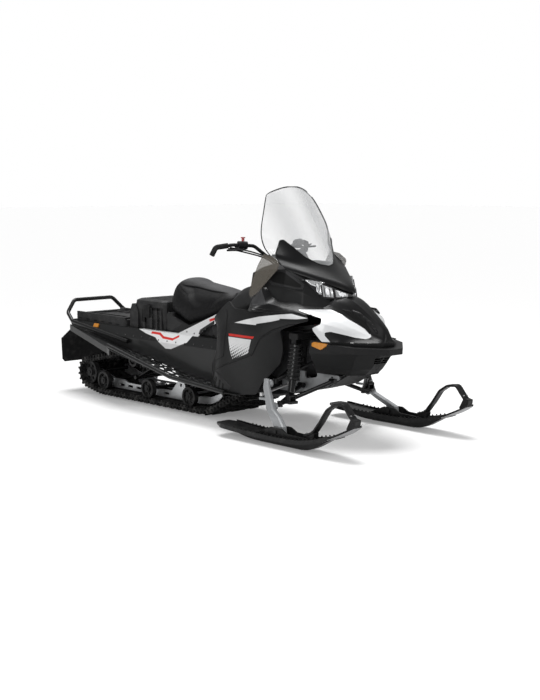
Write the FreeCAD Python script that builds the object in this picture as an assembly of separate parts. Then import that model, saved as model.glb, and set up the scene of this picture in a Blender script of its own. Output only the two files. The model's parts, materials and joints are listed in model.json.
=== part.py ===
"""A utility snowmobile: two steered skis in front, one driven track under a tunnel, and a rack behind the seat.

Lengths are millimetres. X points forward, Y to the rider's left and Z up. The origin is on the ground,
midway between the ski tips and the snow flap, on the machine's middle plane.
"""
import FreeCAD, Part
import math
import os

V = FreeCAD.Vector

# Running clearances and seats
SEAT_GAP = 0.3

# Skis, their legs and the steering
SKI_HALF_STANCE = 490.0
SKI_TAIL_X = 470.0
SKI_TIP_X = 1600.0
SKI_HALF_WIDTH = 82.0
SKI_DECK = 12.0
SKI_DECK_Z = 46.0
SKI_RUNNER_R = 5.0
SKI_KEEL_HALF = 24.0
SKI_PIVOT_X = 985.0
SKI_PIVOT_Z = 88.0
SKI_PIVOT_R = 6.0
SKI_RIB_HALF_GAP = 34.0
SKI_RIB = 9.0
LOOP_HALF_WIDTH = 24.0
LOOP_THICK = 15.0
LEG_THICK = 34.0
LEG_TOP_Z = 350.0
LEG_TOP_X = 806.0
LEG_LOW_X = 845.0
LEG_LOW_Z = 205.0
LEG_IN = 55.0
FRAME_Y = 132.0
ARM_TUBE_R = 13.0
UPPER_ARM_R = 10.0
TIE_ROD_R = 8.0
TIE_ROD_X = 742.0
TIE_ROD_Z = 262.0
LINK_Z = 304.0
LINK_R = 9.0
LINK_END = 196.0
STEER_ARM = 85.0
SHOCK_R = 21.0
SPRING_R = 37.0
SPRING_WIRE_R = 5.0
SPRING_TURNS = 8

# Tunnel, boards and what stands on them
TUNNEL_HALF = 262.0
TUNNEL_TOP_HALF = 232.0
TUNNEL_TOP_Z = 522.0
TUNNEL_SHOULDER_Z = 458.0
TUNNEL_WALL = 4.0
TUNNEL_REAR_X = -1500.0
TUNNEL_FRONT_X = 600.0
TUNNEL_NOSE_Z = 232.0
BOARD_HALF = 402.0
BOARD_SHEET = 5.0
BOARD_EDGE_R = 13.0
BUMPER_R = 14.0
RACK_PLATE = 46.0
RACK_RIB = 18.0
RACK_HOLE_R = 9.0
RACK_HOLE_X = 330.0
RACK_HOLE_Y = 300.0
BOX_REAR_X = -840.0
BOX_FRONT_X = -462.0
BOX_HALF = 196.0
BOX_WALL = 5.0
BOX_RIM_Z = 696.0
LID_THICK = 30.0
HITCH_BORE_R = 8.0
HITCH_PLATE = 8.0

# Track and the wheels that carry it
TRACK_HALF = 250.0
TRACK_BELT = 8.0
LUG_HEIGHT = 38.0
LUG_THICK = 11.0
LUG_COUNT = 56
DRIVE_LUG_HEIGHT = 22.0
RAIL_HALF_GAP = 120.0
RAIL_THICK = 12.0
WHEEL_R = 66.0
WHEEL_WIDTH = 34.0
IDLER_R = 84.0
DRIVE_R = 84.0
ROLLER_R = 48.0
AXLE_R = 11.0

# Bodywork
PANEL = 5.0
GLAZING = 4.0
BAR_R = 11.0
GRIP_R = 16.5
NOSE_X = 1392.0
BUMPER_LIP_HEIGHT = 36.0
BUMPER_REAR_X = 1128.0
ENGINE_LENGTH = 160.0
ENGINE_HALF = 200.0
ENGINE_HEIGHT = 290.0
ENGINE_LOW_Z = 336.0


def turn(points, radius, closed):
    """The edges of a run of straight lines through points, with a tangent arc at each corner."""
    count = len(points)
    radii = radius if isinstance(radius, (list, tuple)) else [radius] * count
    cuts = []
    for i, corner in enumerate(points):
        if not closed and i in (0, count - 1):
            cuts.append((corner, None, corner))
            continue
        back = points[i - 1] - corner
        ahead = points[(i + 1) % count] - corner
        room = 0.45 * min(back.Length, ahead.Length)
        back.normalize()
        ahead.normalize()
        half = 0.5 * back.getAngle(ahead)
        if radii[i] <= 0 or half > 0.5 * math.pi - 0.005:
            cuts.append((corner, None, corner))
            continue
        reach = min(radii[i] / math.tan(half), room)
        inward = (back + ahead).normalize()
        middle = corner + inward * (reach / math.cos(half) - reach * math.tan(half))
        cuts.append((corner + back * reach, middle, corner + ahead * reach))
    edges = []
    for i, (start, middle, end) in enumerate(cuts):
        if middle is not None:
            edges.append(Part.Arc(start, middle, end).toShape())
        if i + 1 < count or closed:
            following = cuts[(i + 1) % count][0]
            if (following - end).Length > 1e-6:
                edges.append(Part.LineSegment(end, following).toShape())
    return edges


def slab(plane, outline, low, high, radius=0.0):
    """A flat plate with rounded corners: outline lies in the plane x, y or z, and runs from low to high across it."""
    place = {
        "x": lambda u, v: V(low, u, v),
        "y": lambda u, v: V(u, low, v),
        "z": lambda u, v: V(u, v, low),
    }[plane]
    across = {"x": V(1, 0, 0), "y": V(0, 1, 0), "z": V(0, 0, 1)}[plane]
    wire = Part.Wire(turn([place(u, v) for u, v in outline], radius, True))
    return Part.Face(wire).extrude(across * (high - low))


def tube(points, radius, bend):
    """A round bar along points, bent at each of them."""
    path = [V(*p) for p in points]
    start = path[1] - path[0]
    ring = Part.Wire([Part.Circle(path[0], start, radius).toShape()])
    return Part.Wire(turn(path, bend, False)).makePipeShell([ring], True, False)


def rod(start, end, radius):
    """A straight round bar."""
    start, end = V(*start), V(*end)
    return Part.makeCylinder(radius, (end - start).Length, start, end - start)


def disc(centre, radius, low, high):
    """A round disc on a sideways axis, from one Y to another."""
    return Part.makeCylinder(radius, high - low, V(centre[0], low, centre[1]), V(0, 1, 0))


def block(x0, x1, y0, y1, z0, z1):
    """A box between two corners."""
    return Part.makeBox(x1 - x0, y1 - y0, z1 - z0, V(x0, y0, z0))


def mirrored(shape):
    """The same piece on the other side of the middle plane."""
    return shape.mirror(V(0, 0, 0), V(0, 1, 0))


def pair(shape):
    """A right-hand piece and its left-hand twin."""
    return [shape, mirrored(shape)]


def union(shapes):
    """One solid from pieces that overlap."""
    return shapes[0].multiFuse(shapes[1:]) if len(shapes) > 1 else shapes[0]


def loft(sections, ruled=False):
    """A solid through closed sections, each a list of points."""
    wires = []
    for points in sections:
        corners = [V(*p) for p in points]
        wires.append(Part.makePolygon(corners + [corners[0]]))
    return Part.makeLoft(wires, True, ruled)


def smooth_loft(sections):
    """A solid through closed sections with rounded outlines."""
    wires = []
    for points in sections:
        curve = Part.BSplineCurve()
        curve.interpolate([V(*p) for p in points], PeriodicFlag=True)
        wires.append(Part.Wire([curve.toShape()]))
    return Part.makeLoft(wires, True, False)


def spline(grid):
    """A smooth surface through a grid of points."""
    made = Part.BSplineSurface()
    made.interpolate(grid)
    return made


def skin(rows, thick):
    """A moulded wall: its outer face runs through rows of points, and it is thick deep on the other side."""
    grid = [[V(*p) for p in row] for row in rows]
    inner = []
    for i, row in enumerate(grid):
        moved = []
        for j, point in enumerate(row):
            along = grid[min(i + 1, len(grid) - 1)][j] - grid[max(i - 1, 0)][j]
            across = row[min(j + 1, len(row) - 1)] - row[max(j - 1, 0)]
            moved.append(point + along.cross(across).normalize() * thick)
        inner.append(moved)
    outer_face, inner_face = spline(grid), spline(inner)
    faces = [outer_face.toShape(), inner_face.toShape()]
    for end in (0, 1):
        pair = [s.uIso(s.bounds()[end]).toShape() for s in (outer_face, inner_face)]
        faces.append(Part.makeRuledSurface(*pair))
        pair = [s.vIso(s.bounds()[2 + end]).toShape() for s in (outer_face, inner_face)]
        faces.append(Part.makeRuledSurface(*pair))
    shell = Part.makeShell(faces)
    shell.sewShape()
    solid = Part.makeSolid(shell)
    if solid.Volume < 0:
        solid.reverse()
    return solid


def bent_wall(rows, thick):
    """A moulded wall through flat rows of points: each row gives an outer curve and, thick deep, an inner one."""
    wires = []
    for points in rows:
        row = [V(*p) for p in points]
        flat = (row[-1] - row[0]).cross(row[len(row) // 2] - row[0])
        inner = []
        for i, point in enumerate(row):
            along = row[min(i + 1, len(row) - 1)] - row[max(i - 1, 0)]
            inner.append(point + along.cross(flat).normalize() * thick)
        curves = []
        for run in (row, inner[::-1]):
            curve = Part.BSplineCurve()
            curve.interpolate(run)
            curves.append(curve.toShape())
        ends = [Part.LineSegment(row[-1], inner[-1]).toShape(), Part.LineSegment(inner[0], row[0]).toShape()]
        wires.append(Part.Wire([curves[0], ends[0], curves[1], ends[1]]))
    return Part.makeLoft(wires, True, False)


def tangent_loop(circles, grow):
    """The belt line round circles given anticlockwise, each grown by the same amount: arcs joined by tangents."""
    count = len(circles)
    touches = []
    for i, (x0, z0, r0) in enumerate(circles):
        x1, z1, r1 = circles[(i + 1) % count]
        away = math.hypot(x1 - x0, z1 - z0)
        heading = math.atan2(z1 - z0, x1 - x0) - math.asin((r1 - r0) / away)
        normal = heading - 0.5 * math.pi
        touches.append((normal, math.cos(normal), math.sin(normal)))
    spans = []
    for i, (x, z, r) in enumerate(circles):
        reach = r + grow
        before, after = touches[i - 1], touches[i]
        sweep = (after[0] - before[0]) % (2 * math.pi)
        spans.append(("arc", x, z, reach, before[0], sweep))
        nx, nz, nr = circles[(i + 1) % count]
        start = (x + reach * after[1], z + reach * after[2])
        end = (nx + (nr + grow) * after[1], nz + (nr + grow) * after[2])
        spans.append(("line", start, end))
    return spans


def loop_edges(spans, y):
    """The edges of a belt line at one Y."""
    edges = []
    for span in spans:
        if span[0] == "line":
            (x0, z0), (x1, z1) = span[1:]
            edges.append(Part.LineSegment(V(x0, y, z0), V(x1, y, z1)).toShape())
            continue
        _, x, z, r, first, sweep = span
        ends = [first, first + 0.5 * sweep, first + sweep]
        edges.append(Part.Arc(*[V(x + r * math.cos(a), y, z + r * math.sin(a)) for a in ends]).toShape())
    return edges


def loop_stations(spans, count):
    """Evenly spaced places on a belt line, each as a point and its outward angle."""
    lengths = [math.dist(*s[1:]) if s[0] == "line" else s[3] * s[5] for s in spans]
    pitch = sum(lengths) / count
    stations = []
    for i in range(count):
        rest = (i + 0.5) * pitch
        for span, length in zip(spans, lengths):
            if rest <= length:
                break
            rest -= length
        if span[0] == "line":
            (x0, z0), (x1, z1) = span[1:]
            share = rest / length
            outward = math.atan2(z1 - z0, x1 - x0) - 0.5 * math.pi
            stations.append((x0 + share * (x1 - x0), z0 + share * (z1 - z0), outward))
        else:
            _, x, z, r, first, _ = span
            outward = first + rest / r
            stations.append((x + r * math.cos(outward), z + r * math.sin(outward), outward))
    return stations


# Wheel places: x and z of each centre, and the radius
BELT_IN_Z = LUG_HEIGHT + TRACK_BELT
IDLER = (-1306.0, 158.0, IDLER_R)
REAR_WHEEL = (-1143.0, BELT_IN_Z + WHEEL_R, WHEEL_R)
MID_WHEEL = (-633.0, BELT_IN_Z + WHEEL_R, WHEEL_R)
FRONT_WHEEL = (-186.0, BELT_IN_Z + WHEEL_R, WHEEL_R)
RAIL_TOE_R = 320.0
RAIL_TOE = (-60.0, BELT_IN_Z + RAIL_TOE_R, RAIL_TOE_R)
DRIVE = (335.0, 300.0, DRIVE_R)
ROLLER = (-790.0, 297.0, ROLLER_R)
BELT_CIRCLES = [REAR_WHEEL, RAIL_TOE, DRIVE, ROLLER, IDLER]


def track():
    """The rubber belt with its tread lugs outside and its drive lugs inside, in one piece."""
    inner = tangent_loop(BELT_CIRCLES, 0.0)
    outer = tangent_loop(BELT_CIRCLES, TRACK_BELT)
    ring = Part.Face(Part.Wire(loop_edges(outer, -TRACK_HALF)))
    hole = Part.Face(Part.Wire(loop_edges(inner, -TRACK_HALF)))
    belt = ring.cut(hole).extrude(V(0, 2 * TRACK_HALF, 0))
    even = [(-0.98, -0.62), (-0.26, 0.26), (0.62, 0.98)]
    odd = [(-0.70, -0.18), (0.18, 0.70)]
    lugs = []
    for i, (x, z, outward) in enumerate(loop_stations(outer, LUG_COUNT)):
        for low, high in even if i % 2 else odd:
            lugs.append(lug(x, z, outward, low * TRACK_HALF, high * TRACK_HALF, LUG_HEIGHT, LUG_THICK))
    for x, z, outward in loop_stations(inner, LUG_COUNT):
        for side in (-1, 1):
            middle = side * 0.27 * TRACK_HALF
            lugs.append(lug(x, z, outward + math.pi, middle - 14, middle + 14, DRIVE_LUG_HEIGHT, 20.0))
    return belt.multiFuse(lugs)


def lug(x, z, outward, low, high, height, thick):
    """One tapered lug that stands on the belt, let into it by half the belt."""
    root = 0.5 * TRACK_BELT
    sections = []
    for rise, half in ((-root, 0.5 * thick), (height, 0.32 * thick)):
        cx, cz = x + rise * math.cos(outward), z + rise * math.sin(outward)
        tx, tz = -math.sin(outward) * half, math.cos(outward) * half
        sections.append([(cx - tx, cz - tz), (cx + tx, cz + tz)])
    (a, b), (c, d) = sections
    return slab("y", [a, b, d, c], low, high)


def spoked_wheel(centre, radius, low, high):
    """A moulded wheel with a rubber rim, a dished web with windows, and a hub."""
    x, z = centre
    rim = disc(centre, radius - SEAT_GAP, low, high).cut(disc(centre, radius - 15, low, high))
    middle = 0.5 * (low + high)
    web = disc(centre, radius - 14, middle - 5, middle + 5)
    hub = disc(centre, 0.36 * radius, low - 2, high + 2)
    windows = []
    for i in range(6):
        angle = math.radians(60 * i)
        at = (x + 0.6 * radius * math.cos(angle), z + 0.6 * radius * math.sin(angle))
        windows.append(disc(at, 0.15 * radius, low, high))
    wheel = web.cut(windows[0].multiFuse(windows[1:])).multiFuse([rim, hub])
    return wheel.cut(disc(centre, AXLE_R + SEAT_GAP, low - 5, high + 5))


WHEEL_OUT = 222.0


def wheels():
    """The rear idlers, the guide wheels and the top rollers, in pairs on both sides."""
    made = []
    for x, z, radius in (IDLER, REAR_WHEEL, MID_WHEEL, FRONT_WHEEL):
        wheel = spoked_wheel((x, z), radius, -WHEEL_OUT, WHEEL_WIDTH - WHEEL_OUT)
        made += [wheel, mirrored(wheel)]
    x, z, radius = ROLLER
    roller = spoked_wheel((x, z), radius, -WHEEL_OUT, WHEEL_WIDTH - WHEEL_OUT)
    return made + [roller, mirrored(roller)]


def drive_sprockets():
    """The driven axle with its toothed sprockets, inside the front of the track."""
    x, z, radius = DRIVE
    inside = TUNNEL_HALF - TUNNEL_WALL - SEAT_GAP
    axle = disc((x, z), 16.0, -inside, inside)
    pieces = [axle]
    for side in (-1, 1):
        for middle in (side * 0.52 * TRACK_HALF, side * 0.14 * TRACK_HALF):
            pieces.append(disc((x, z), radius - SEAT_GAP, middle - 11, middle + 11))
    return union(pieces)


def wheel_axles():
    """Cross shafts that carry the wheels through the rails."""
    made = []
    for x, z, _ in (IDLER, REAR_WHEEL, MID_WHEEL, FRONT_WHEEL, ROLLER):
        made.append(disc((x, z), AXLE_R, -WHEEL_OUT - 6, WHEEL_OUT + 6))
    return made


def slide_rails():
    """Two aluminium side rails with lightening windows, each turned up at the toe."""
    foot = BELT_IN_Z + 12.0
    toe = [(-60.0, foot + 10), (20.0, foot + 44), (60.0, foot + 78), (42.0, foot + 92), (-60.0, foot + 56)]
    back = [(-300.0, foot + 44), (-348.0, foot + 138), (-392.0, foot + 138), (-470.0, foot + 52)]
    tail = [(-600.0, foot + 48), (-960.0, foot + 48), (-1010.0, foot + 66), (-1150.0, foot + 66), (-1190.0, foot)]
    rail = slab("y", toe + back + tail + [(-180.0, foot)], RAIL_HALF_GAP, RAIL_HALF_GAP + RAIL_THICK, 14.0)
    arm_outline = [(-1130.0, foot + 10), (-1345.0, IDLER[1] - 34), (-1345.0, IDLER[1] + 30), (-1130.0, foot + 66)]
    rear_arm = slab("y", arm_outline, RAIL_HALF_GAP - 4, RAIL_HALF_GAP + RAIL_THICK + 4, 20.0)
    windows = []
    for x in (-1040.0, -940.0, -840.0, -740.0, -530.0):
        windows.append(slab("y", [(x - 30, foot + 16), (x + 30, foot + 16), (x + 30, foot + 34), (x - 30, foot + 34)], 0, 200, 8.0))
    windows.append(disc((-372.0, foot + 100), 12.0, 0, 200))
    for x, z, _ in (IDLER, REAR_WHEEL, MID_WHEEL, FRONT_WHEEL):
        windows.append(disc((x, z), AXLE_R + SEAT_GAP, 0, 200))
    side = union([rail, rear_arm]).cut(union(windows))
    return [side, mirrored(side)]


def rail_sliders():
    """The dark wear strips under the rails, which the belt runs on."""
    foot = BELT_IN_Z + 12.0
    low = BELT_IN_Z + SEAT_GAP
    rear = REAR_WHEEL[0] + 1
    strip = slab("y", [(rear, low), (-125.0, low), (-125.0, foot - SEAT_GAP), (rear, foot - SEAT_GAP)],
                 RAIL_HALF_GAP - 3, RAIL_HALF_GAP + RAIL_THICK + 3)
    return [strip, mirrored(strip)]


FRONT_ARM_TOP = (-20.0, 300.0)
FRONT_ARM_LOW = (-300.0, 128.0)
REAR_ARM_TOP = (-600.0, 300.0)
REAR_ARM_LOW = (-900.0, 150.0)
FRONT_SHOCK_FOOT = (-130.0, 106.0)
REAR_SHOCK_FOOT = (-430.0, 106.0)
CROSS_TUBE_R = 13.0


def skid_arms():
    """The two swing arms that hang the rails in the tunnel, and the cross tubes that hold the dampers."""
    inside = TUNNEL_HALF - TUNNEL_WALL - SEAT_GAP
    between = RAIL_HALF_GAP - SEAT_GAP
    made = []
    for top, low in ((FRONT_ARM_TOP, FRONT_ARM_LOW), (REAR_ARM_TOP, REAR_ARM_LOW)):
        pieces = [disc(top, CROSS_TUBE_R, -inside, inside), disc(low, CROSS_TUBE_R, -between, between)]
        for side in (-1, 1):
            y = side * 92.0
            pieces.append(rod((top[0], y, top[1]), (low[0], y, low[1]), 12.0))
            if top is REAR_ARM_TOP:
                pieces.append(rod((ROLLER[0], y, 205.0), (ROLLER[0], y, ROLLER[1]), 9.0))
                pieces.append(disc(ROLLER[:2], AXLE_R + 8, y - 10, y + 10))
        arm = union(pieces)
        if top is REAR_ARM_TOP:
            arm = arm.cut(disc(ROLLER[:2], AXLE_R + SEAT_GAP, -inside, inside))
        made.append(arm)
    for foot in (FRONT_SHOCK_FOOT, REAR_SHOCK_FOOT):
        made.append(disc(foot, CROSS_TUBE_R, -between, between))
    return made


def coil(start, end, radius, wire, turns):
    """A coil spring between two points, as level turns on a thin sleeve, turned from one outline."""
    start, end = V(*start), V(*end)
    long = (end - start).Length
    outline = [V(radius - 1.6 * wire, 0, 0), V(radius - 0.6 * wire, 0, 0)]
    for i in range(turns):
        middle = long * (i + 0.5) / turns
        for angle in (-120, -60, 0, 60, 120):
            bend = math.radians(angle)
            outline.append(V(radius + wire * math.cos(bend), 0, middle + wire * math.sin(bend)))
    outline += [V(radius - 0.6 * wire, 0, long), V(radius - 1.6 * wire, 0, long)]
    spring = Part.Face(Part.makePolygon(outline + [outline[0]])).revolve(V(0, 0, 0), V(0, 0, 1), 360)
    spring.Placement = FreeCAD.Placement(start, FreeCAD.Rotation(V(0, 0, 1), end - start))
    return spring


def spring_shock(low, high, body, coil_r, wire, turns, eye, bore):
    """A coil-over damper: body, rod, spring seats, coil spring, and a bored eye at each end."""
    a, b = V(*low), V(*high)
    axis = V(b - a).normalize()
    long = (b - a).Length
    def at(share):
        point = a + axis * (long * share)
        return (point.x, point.y, point.z)
    pieces = [
        rod(at(0.07), at(0.62), body),
        rod(at(0.5), at(0.97), 0.45 * body),
        rod(at(0.295), at(0.335), coil_r + wire + 1),
        rod(at(0.888), at(0.93), coil_r + wire + 1),
    ]
    pieces.append(coil(at(0.318), at(0.905), coil_r, wire, turns))
    holes = []
    for point in (a, b):
        pieces.append(Part.makeCylinder(bore + 7, 2 * eye, point - V(0, eye, 0), V(0, 1, 0)))
        holes.append(Part.makeCylinder(bore + SEAT_GAP, 200.0, point - V(0, 100, 0), V(0, 1, 0)))
    return union(pieces).cut(union(holes))


def skid_shocks():
    """The two coil-over dampers inside the track."""
    made = []
    for foot, top in ((FRONT_SHOCK_FOOT, FRONT_ARM_TOP), (REAR_SHOCK_FOOT, REAR_ARM_TOP)):
        made.append(spring_shock((foot[0], 0.0, foot[1]), (top[0], 0.0, top[1]), 16.0, 32.0, 5.0, 6, 22.0, CROSS_TUBE_R))
    return made


def tunnel():
    """The folded sheet tunnel over the track: shouldered sides, and a nose that curls down in front of the drive."""
    top, front, rear = TUNNEL_TOP_Z, TUNNEL_FRONT_X, TUNNEL_REAR_X
    ear_x, ear_z = REAR_ARM_TOP
    ear = [(ear_x + 62, 338.0), (ear_x + 30, ear_z - 30), (ear_x - 30, ear_z - 30), (ear_x - 80, 362.0)]
    low = [(front, TUNNEL_NOSE_Z), (250.0, 236.0), (-150.0, 268.0)] + ear + [(-880.0, 392.0), (rear + 20, 486.0), (rear, 500.0)]
    outer = slab("y", [(rear, top), (front - 240, top), (front - 60, top - 70), (front, top - 200)] + low,
                 -TUNNEL_HALF, TUNNEL_HALF)
    inset = TUNNEL_WALL
    inner_side = [(rear - 10, top - inset), (front - 240, top - inset), (front - 63, top - 73), (front - inset, top - 200),
                  (front - inset, 0.0), (rear - 10, 0.0)]
    inner = slab("y", inner_side, -TUNNEL_HALF, TUNNEL_HALF)
    def section(shrink, floor):
        half = [(TUNNEL_HALF - shrink, floor), (TUNNEL_HALF - shrink, TUNNEL_SHOULDER_Z - 0.4 * shrink),
                (TUNNEL_TOP_HALF - 0.8 * shrink, top - shrink)]
        return half + [(-y, z) for y, z in reversed(half)]
    outer = outer.common(slab("x", section(0.0, 100.0), rear, front))
    inner = inner.common(slab("x", section(inset, -50.0), rear - 20, front))
    return outer.cut(inner)


BOARD_REAR = (-1470.0, 488.0)
BOARD_KICK = (-875.0, 388.0)
BOARD_KNEE = (-150.0, 262.0)
BOARD_TOE = (470.0, 218.0)


def board_band(below, above):
    """The side outline of a band that follows the running board."""
    line = [BOARD_REAR, BOARD_KICK, BOARD_KNEE, BOARD_TOE]
    return [(x, z - below) for x, z in line] + [(x, z + above) for x, z in reversed(line)]


def running_board():
    """The right running board: a sheet with traction openings, a turned-down rear flange and a round outer edge."""
    inside = TUNNEL_HALF + SEAT_GAP
    plan = [(BOARD_REAR[0], -inside), (BOARD_TOE[0], -inside), (BOARD_TOE[0], -BOARD_HALF + 30),
            (BOARD_TOE[0] - 90, -BOARD_HALF), (BOARD_KICK[0] + 60, -BOARD_HALF), (BOARD_KICK[0], -BOARD_HALF + 22),
            (BOARD_REAR[0], -inside - 12)]
    sheet = slab("y", board_band(0.0, BOARD_SHEET), -BOARD_HALF - 20, -inside).common(slab("z", plan, 0, 900))
    flange_plan = [(BOARD_REAR[0], -inside - 12), (BOARD_KICK[0], -BOARD_HALF + 22), (BOARD_KICK[0] + 60, -BOARD_HALF),
                   (BOARD_KICK[0] + 60, -BOARD_HALF + 7), (BOARD_KICK[0], -BOARD_HALF + 29), (BOARD_REAR[0], -inside - 5)]
    flange = slab("y", board_band(38.0, BOARD_SHEET), -BOARD_HALF - 20, -inside).common(slab("z", flange_plan, 0, 900))
    edge_y = -BOARD_HALF + 2
    edge = tube([(BOARD_KICK[0] + 40, edge_y, BOARD_KICK[1] - 4 + 28), (BOARD_KNEE[0], edge_y, BOARD_KNEE[1] + 4),
                 (BOARD_TOE[0] - 90, edge_y, BOARD_TOE[1] + 12)], BOARD_EDGE_R, 160.0)
    openings = []
    for i in range(13):
        x = BOARD_KICK[0] + 130 + 84 * i
        for j in range(3):
            y = -inside - 24 - 40 * j
            openings.append(slab("z", [(x - 30, y - 13), (x + 30, y - 13), (x + 30, y + 13), (x - 30, y + 13)], 0, 900, 12.0))
    sheet = sheet.cut(openings[0].multiFuse(openings[1:]))
    return union([sheet, flange, edge])


def rear_bumper():
    """The tube that runs along both sides of the tunnel and rises behind into a hand rail."""
    y = TUNNEL_HALF + BUMPER_R + SEAT_GAP
    side = [(-770.0, -y, 432.0), (-1432.0, -y, 520.0), (-1532.0, -y + 28, 575.0), (-1560.0, -170.0, 660.0)]
    other = [(x, -w, z) for x, w, z in reversed(side)]
    return tube(side + other, BUMPER_R, 46.0)


def snow_flap():
    """The rubber flap that hangs behind the track, wider low down, with a stiff fold."""
    top, fold, low = 496.0, 384.0, 205.0
    front = [(42.0, HITCH_Z - 26), (42.0, top), (186.0, top), (284.0, fold), (262.0, low + 22), (240.0, low)]
    outline = front + [(-y, z) for y, z in reversed(front)]
    face = TUNNEL_REAR_X - 10 - SEAT_GAP
    lean = [(face, top), (face - 4, top), (-1572.0, fold), (-1600.0, low), (-1595.0, low), (-1566.0, fold)]
    sheet = slab("y", lean[::-1], -300.0, 300.0)
    return sheet.common(slab("x", outline, -1650.0, -1450.0))


def tail_bracket():
    """The rear plate under the bumper that closes the tunnel and holds the flap, the lamp and the hitch."""
    top = TUNNEL_TOP_Z
    half = TUNNEL_TOP_HALF - 2 * TUNNEL_WALL
    return block(TUNNEL_REAR_X - 10, TUNNEL_REAR_X - SEAT_GAP, -half, half, top - 60, top + 6)


def tail_lamp():
    """The red lamp on the tail bracket."""
    x = TUNNEL_REAR_X - 10 - SEAT_GAP
    lamp = slab("z", [(x, -95.0), (x, 95.0), (x - 16, 85.0), (x - 20, 0.0), (x - 16, -85.0)], TUNNEL_TOP_Z + 10, TUNNEL_TOP_Z + 40, 4.0)
    stem = block(x, x + 12, -40.0, 40.0, TUNNEL_TOP_Z + 6 + SEAT_GAP, TUNNEL_TOP_Z + 30)
    return union([lamp, stem])


HITCH_X = -1586.0
HITCH_Z = 500.0
HITCH_LIP = 14.0


def tow_hitch():
    """A clevis of two steel plates with a bore for the drawbar pin."""
    base = TUNNEL_REAR_X - 10 - SEAT_GAP
    gap = 12.0
    plates = []
    for low in (HITCH_Z - gap - HITCH_PLATE, HITCH_Z + gap):
        plates.append(slab("z", [(base, -38.0), (base, 38.0), (HITCH_X - HITCH_LIP, 22.0), (HITCH_X - HITCH_LIP, -22.0)], low, low + HITCH_PLATE, 10.0))
    back = block(base - 6, base, -38.0, 38.0, HITCH_Z - gap - HITCH_PLATE, HITCH_Z + gap + HITCH_PLATE)
    bore = Part.makeCylinder(HITCH_BORE_R, 90.0, V(HITCH_X, 0, HITCH_Z - 45), V(0, 0, 1))
    return union(plates + [back]).cut(bore)


RACK_REAR_X = -1490.0
RACK_FRONT_X = -862.0
RACK_Z = TUNNEL_TOP_Z + SEAT_GAP


def cargo_rack():
    """The moulded cargo plate: a ribbed deck with side rails, drain slots and four fixing bores."""
    half = TUNNEL_TOP_HALF - 4
    top = RACK_Z + RACK_PLATE
    deck = slab("z", [(RACK_REAR_X, -half + 24), (RACK_REAR_X, half - 24), (RACK_FRONT_X, half), (RACK_FRONT_X, -half)], RACK_Z, top, 20.0)
    pieces = [deck]
    for side in (-1, 1):
        outer = side * (half - 2)
        inner = side * (half - 22)
        rear_outer, rear_inner = side * (half - 26), side * (half - 44)
        pieces.append(slab("z", [(RACK_REAR_X + 6, rear_outer), (RACK_REAR_X + 6, rear_inner), (RACK_FRONT_X - 6, inner), (RACK_FRONT_X - 6, outer)],
                           RACK_Z + 2, top + RACK_RIB, 6.0))
    for y in (-96.0, 96.0):
        pieces.append(block(RACK_REAR_X + 40, RACK_FRONT_X - 40, y - 9, y + 9, RACK_Z + 2, top + 8))
    for x in (RACK_REAR_X + 70, RACK_FRONT_X - 70):
        pieces.append(block(x - 22, x + 22, -half + 30, half - 30, RACK_Z + 2, top + 12))
    pieces.append(block(RACK_FRONT_X - 34, RACK_FRONT_X, -150.0, 150.0, RACK_Z + 2, top + 22))
    middle = 0.5 * (RACK_REAR_X + RACK_FRONT_X)
    slots = []
    for i in range(6):
        x = middle - 185 + 74 * i
        for y in (-140.0, -52.0, 52.0, 140.0):
            slots.append(slab("z", [(x - 24, y - 9), (x + 24, y - 9), (x + 24, y + 9), (x - 24, y + 9)], top - 7, top + 60, 8.5))
    holes = []
    for sx in (-1, 1):
        for sy in (-1, 1):
            at = V(middle + 0.5 * sx * RACK_HOLE_X, 0.5 * sy * RACK_HOLE_Y, RACK_Z - 5)
            pieces.append(Part.makeCylinder(RACK_HOLE_R + 9, RACK_PLATE + 9, at + V(0, 0, 5), V(0, 0, 1)))
            holes.append(Part.makeCylinder(RACK_HOLE_R, RACK_PLATE + 40, at, V(0, 0, 1)))
    return union(pieces).cut(union(slots)).cut(union(holes))


BOX_FLOOR_Z = TUNNEL_TOP_Z + SEAT_GAP


def rounded_section(x0, x1, half, z, corner):
    """A level rectangle with its corners cut, for drafted mouldings."""
    c = corner
    return [(x0 + c, -half, z), (x1 - c, -half, z), (x1, -half + c, z), (x1, half - c, z),
            (x1 - c, half, z), (x0 + c, half, z), (x0, half - c, z), (x0, -half + c, z)]


def cargo_box():
    """The drafted cargo box, open at the top, with latch recesses, side ribs and a rear foot on each side."""
    low, rim = BOX_FLOOR_Z, BOX_RIM_Z
    outer = loft([rounded_section(BOX_REAR_X + 30, BOX_FRONT_X - 14, BOX_HALF - 12, low, 16.0),
                  rounded_section(BOX_REAR_X + 46, BOX_FRONT_X, BOX_HALF, rim, 22.0)], True)
    w = BOX_WALL
    inner = loft([rounded_section(BOX_REAR_X + 30 + w, BOX_FRONT_X - 14 - w, BOX_HALF - 12 - w, low + w, 14.0),
                  rounded_section(BOX_REAR_X + 46 + w, BOX_FRONT_X - w, BOX_HALF - w, rim + 1, 20.0)], True)
    pieces = [outer]
    for side in (-1, 1):
        y0, y1 = sorted((side * (BOX_HALF - 30), side * (BOX_HALF + 6)))
        for x, wide in ((BOX_REAR_X + 150, 16.0), (BOX_REAR_X + 230, 16.0), (BOX_FRONT_X - 90, 16.0), (BOX_FRONT_X - 40, 14.0)):
            pieces.append(block(x, x + wide, y0, y1, low + 8, rim - 26))
        pieces.append(slab("y", [(BOX_REAR_X, low), (BOX_REAR_X + 92, low), (BOX_REAR_X + 92, rim - 62), (BOX_REAR_X + 60, rim - 8), (BOX_REAR_X + 26, rim - 8), (BOX_REAR_X, rim - 66)], y0, y1, 8.0))
    return union(pieces).cut(inner)


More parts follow.
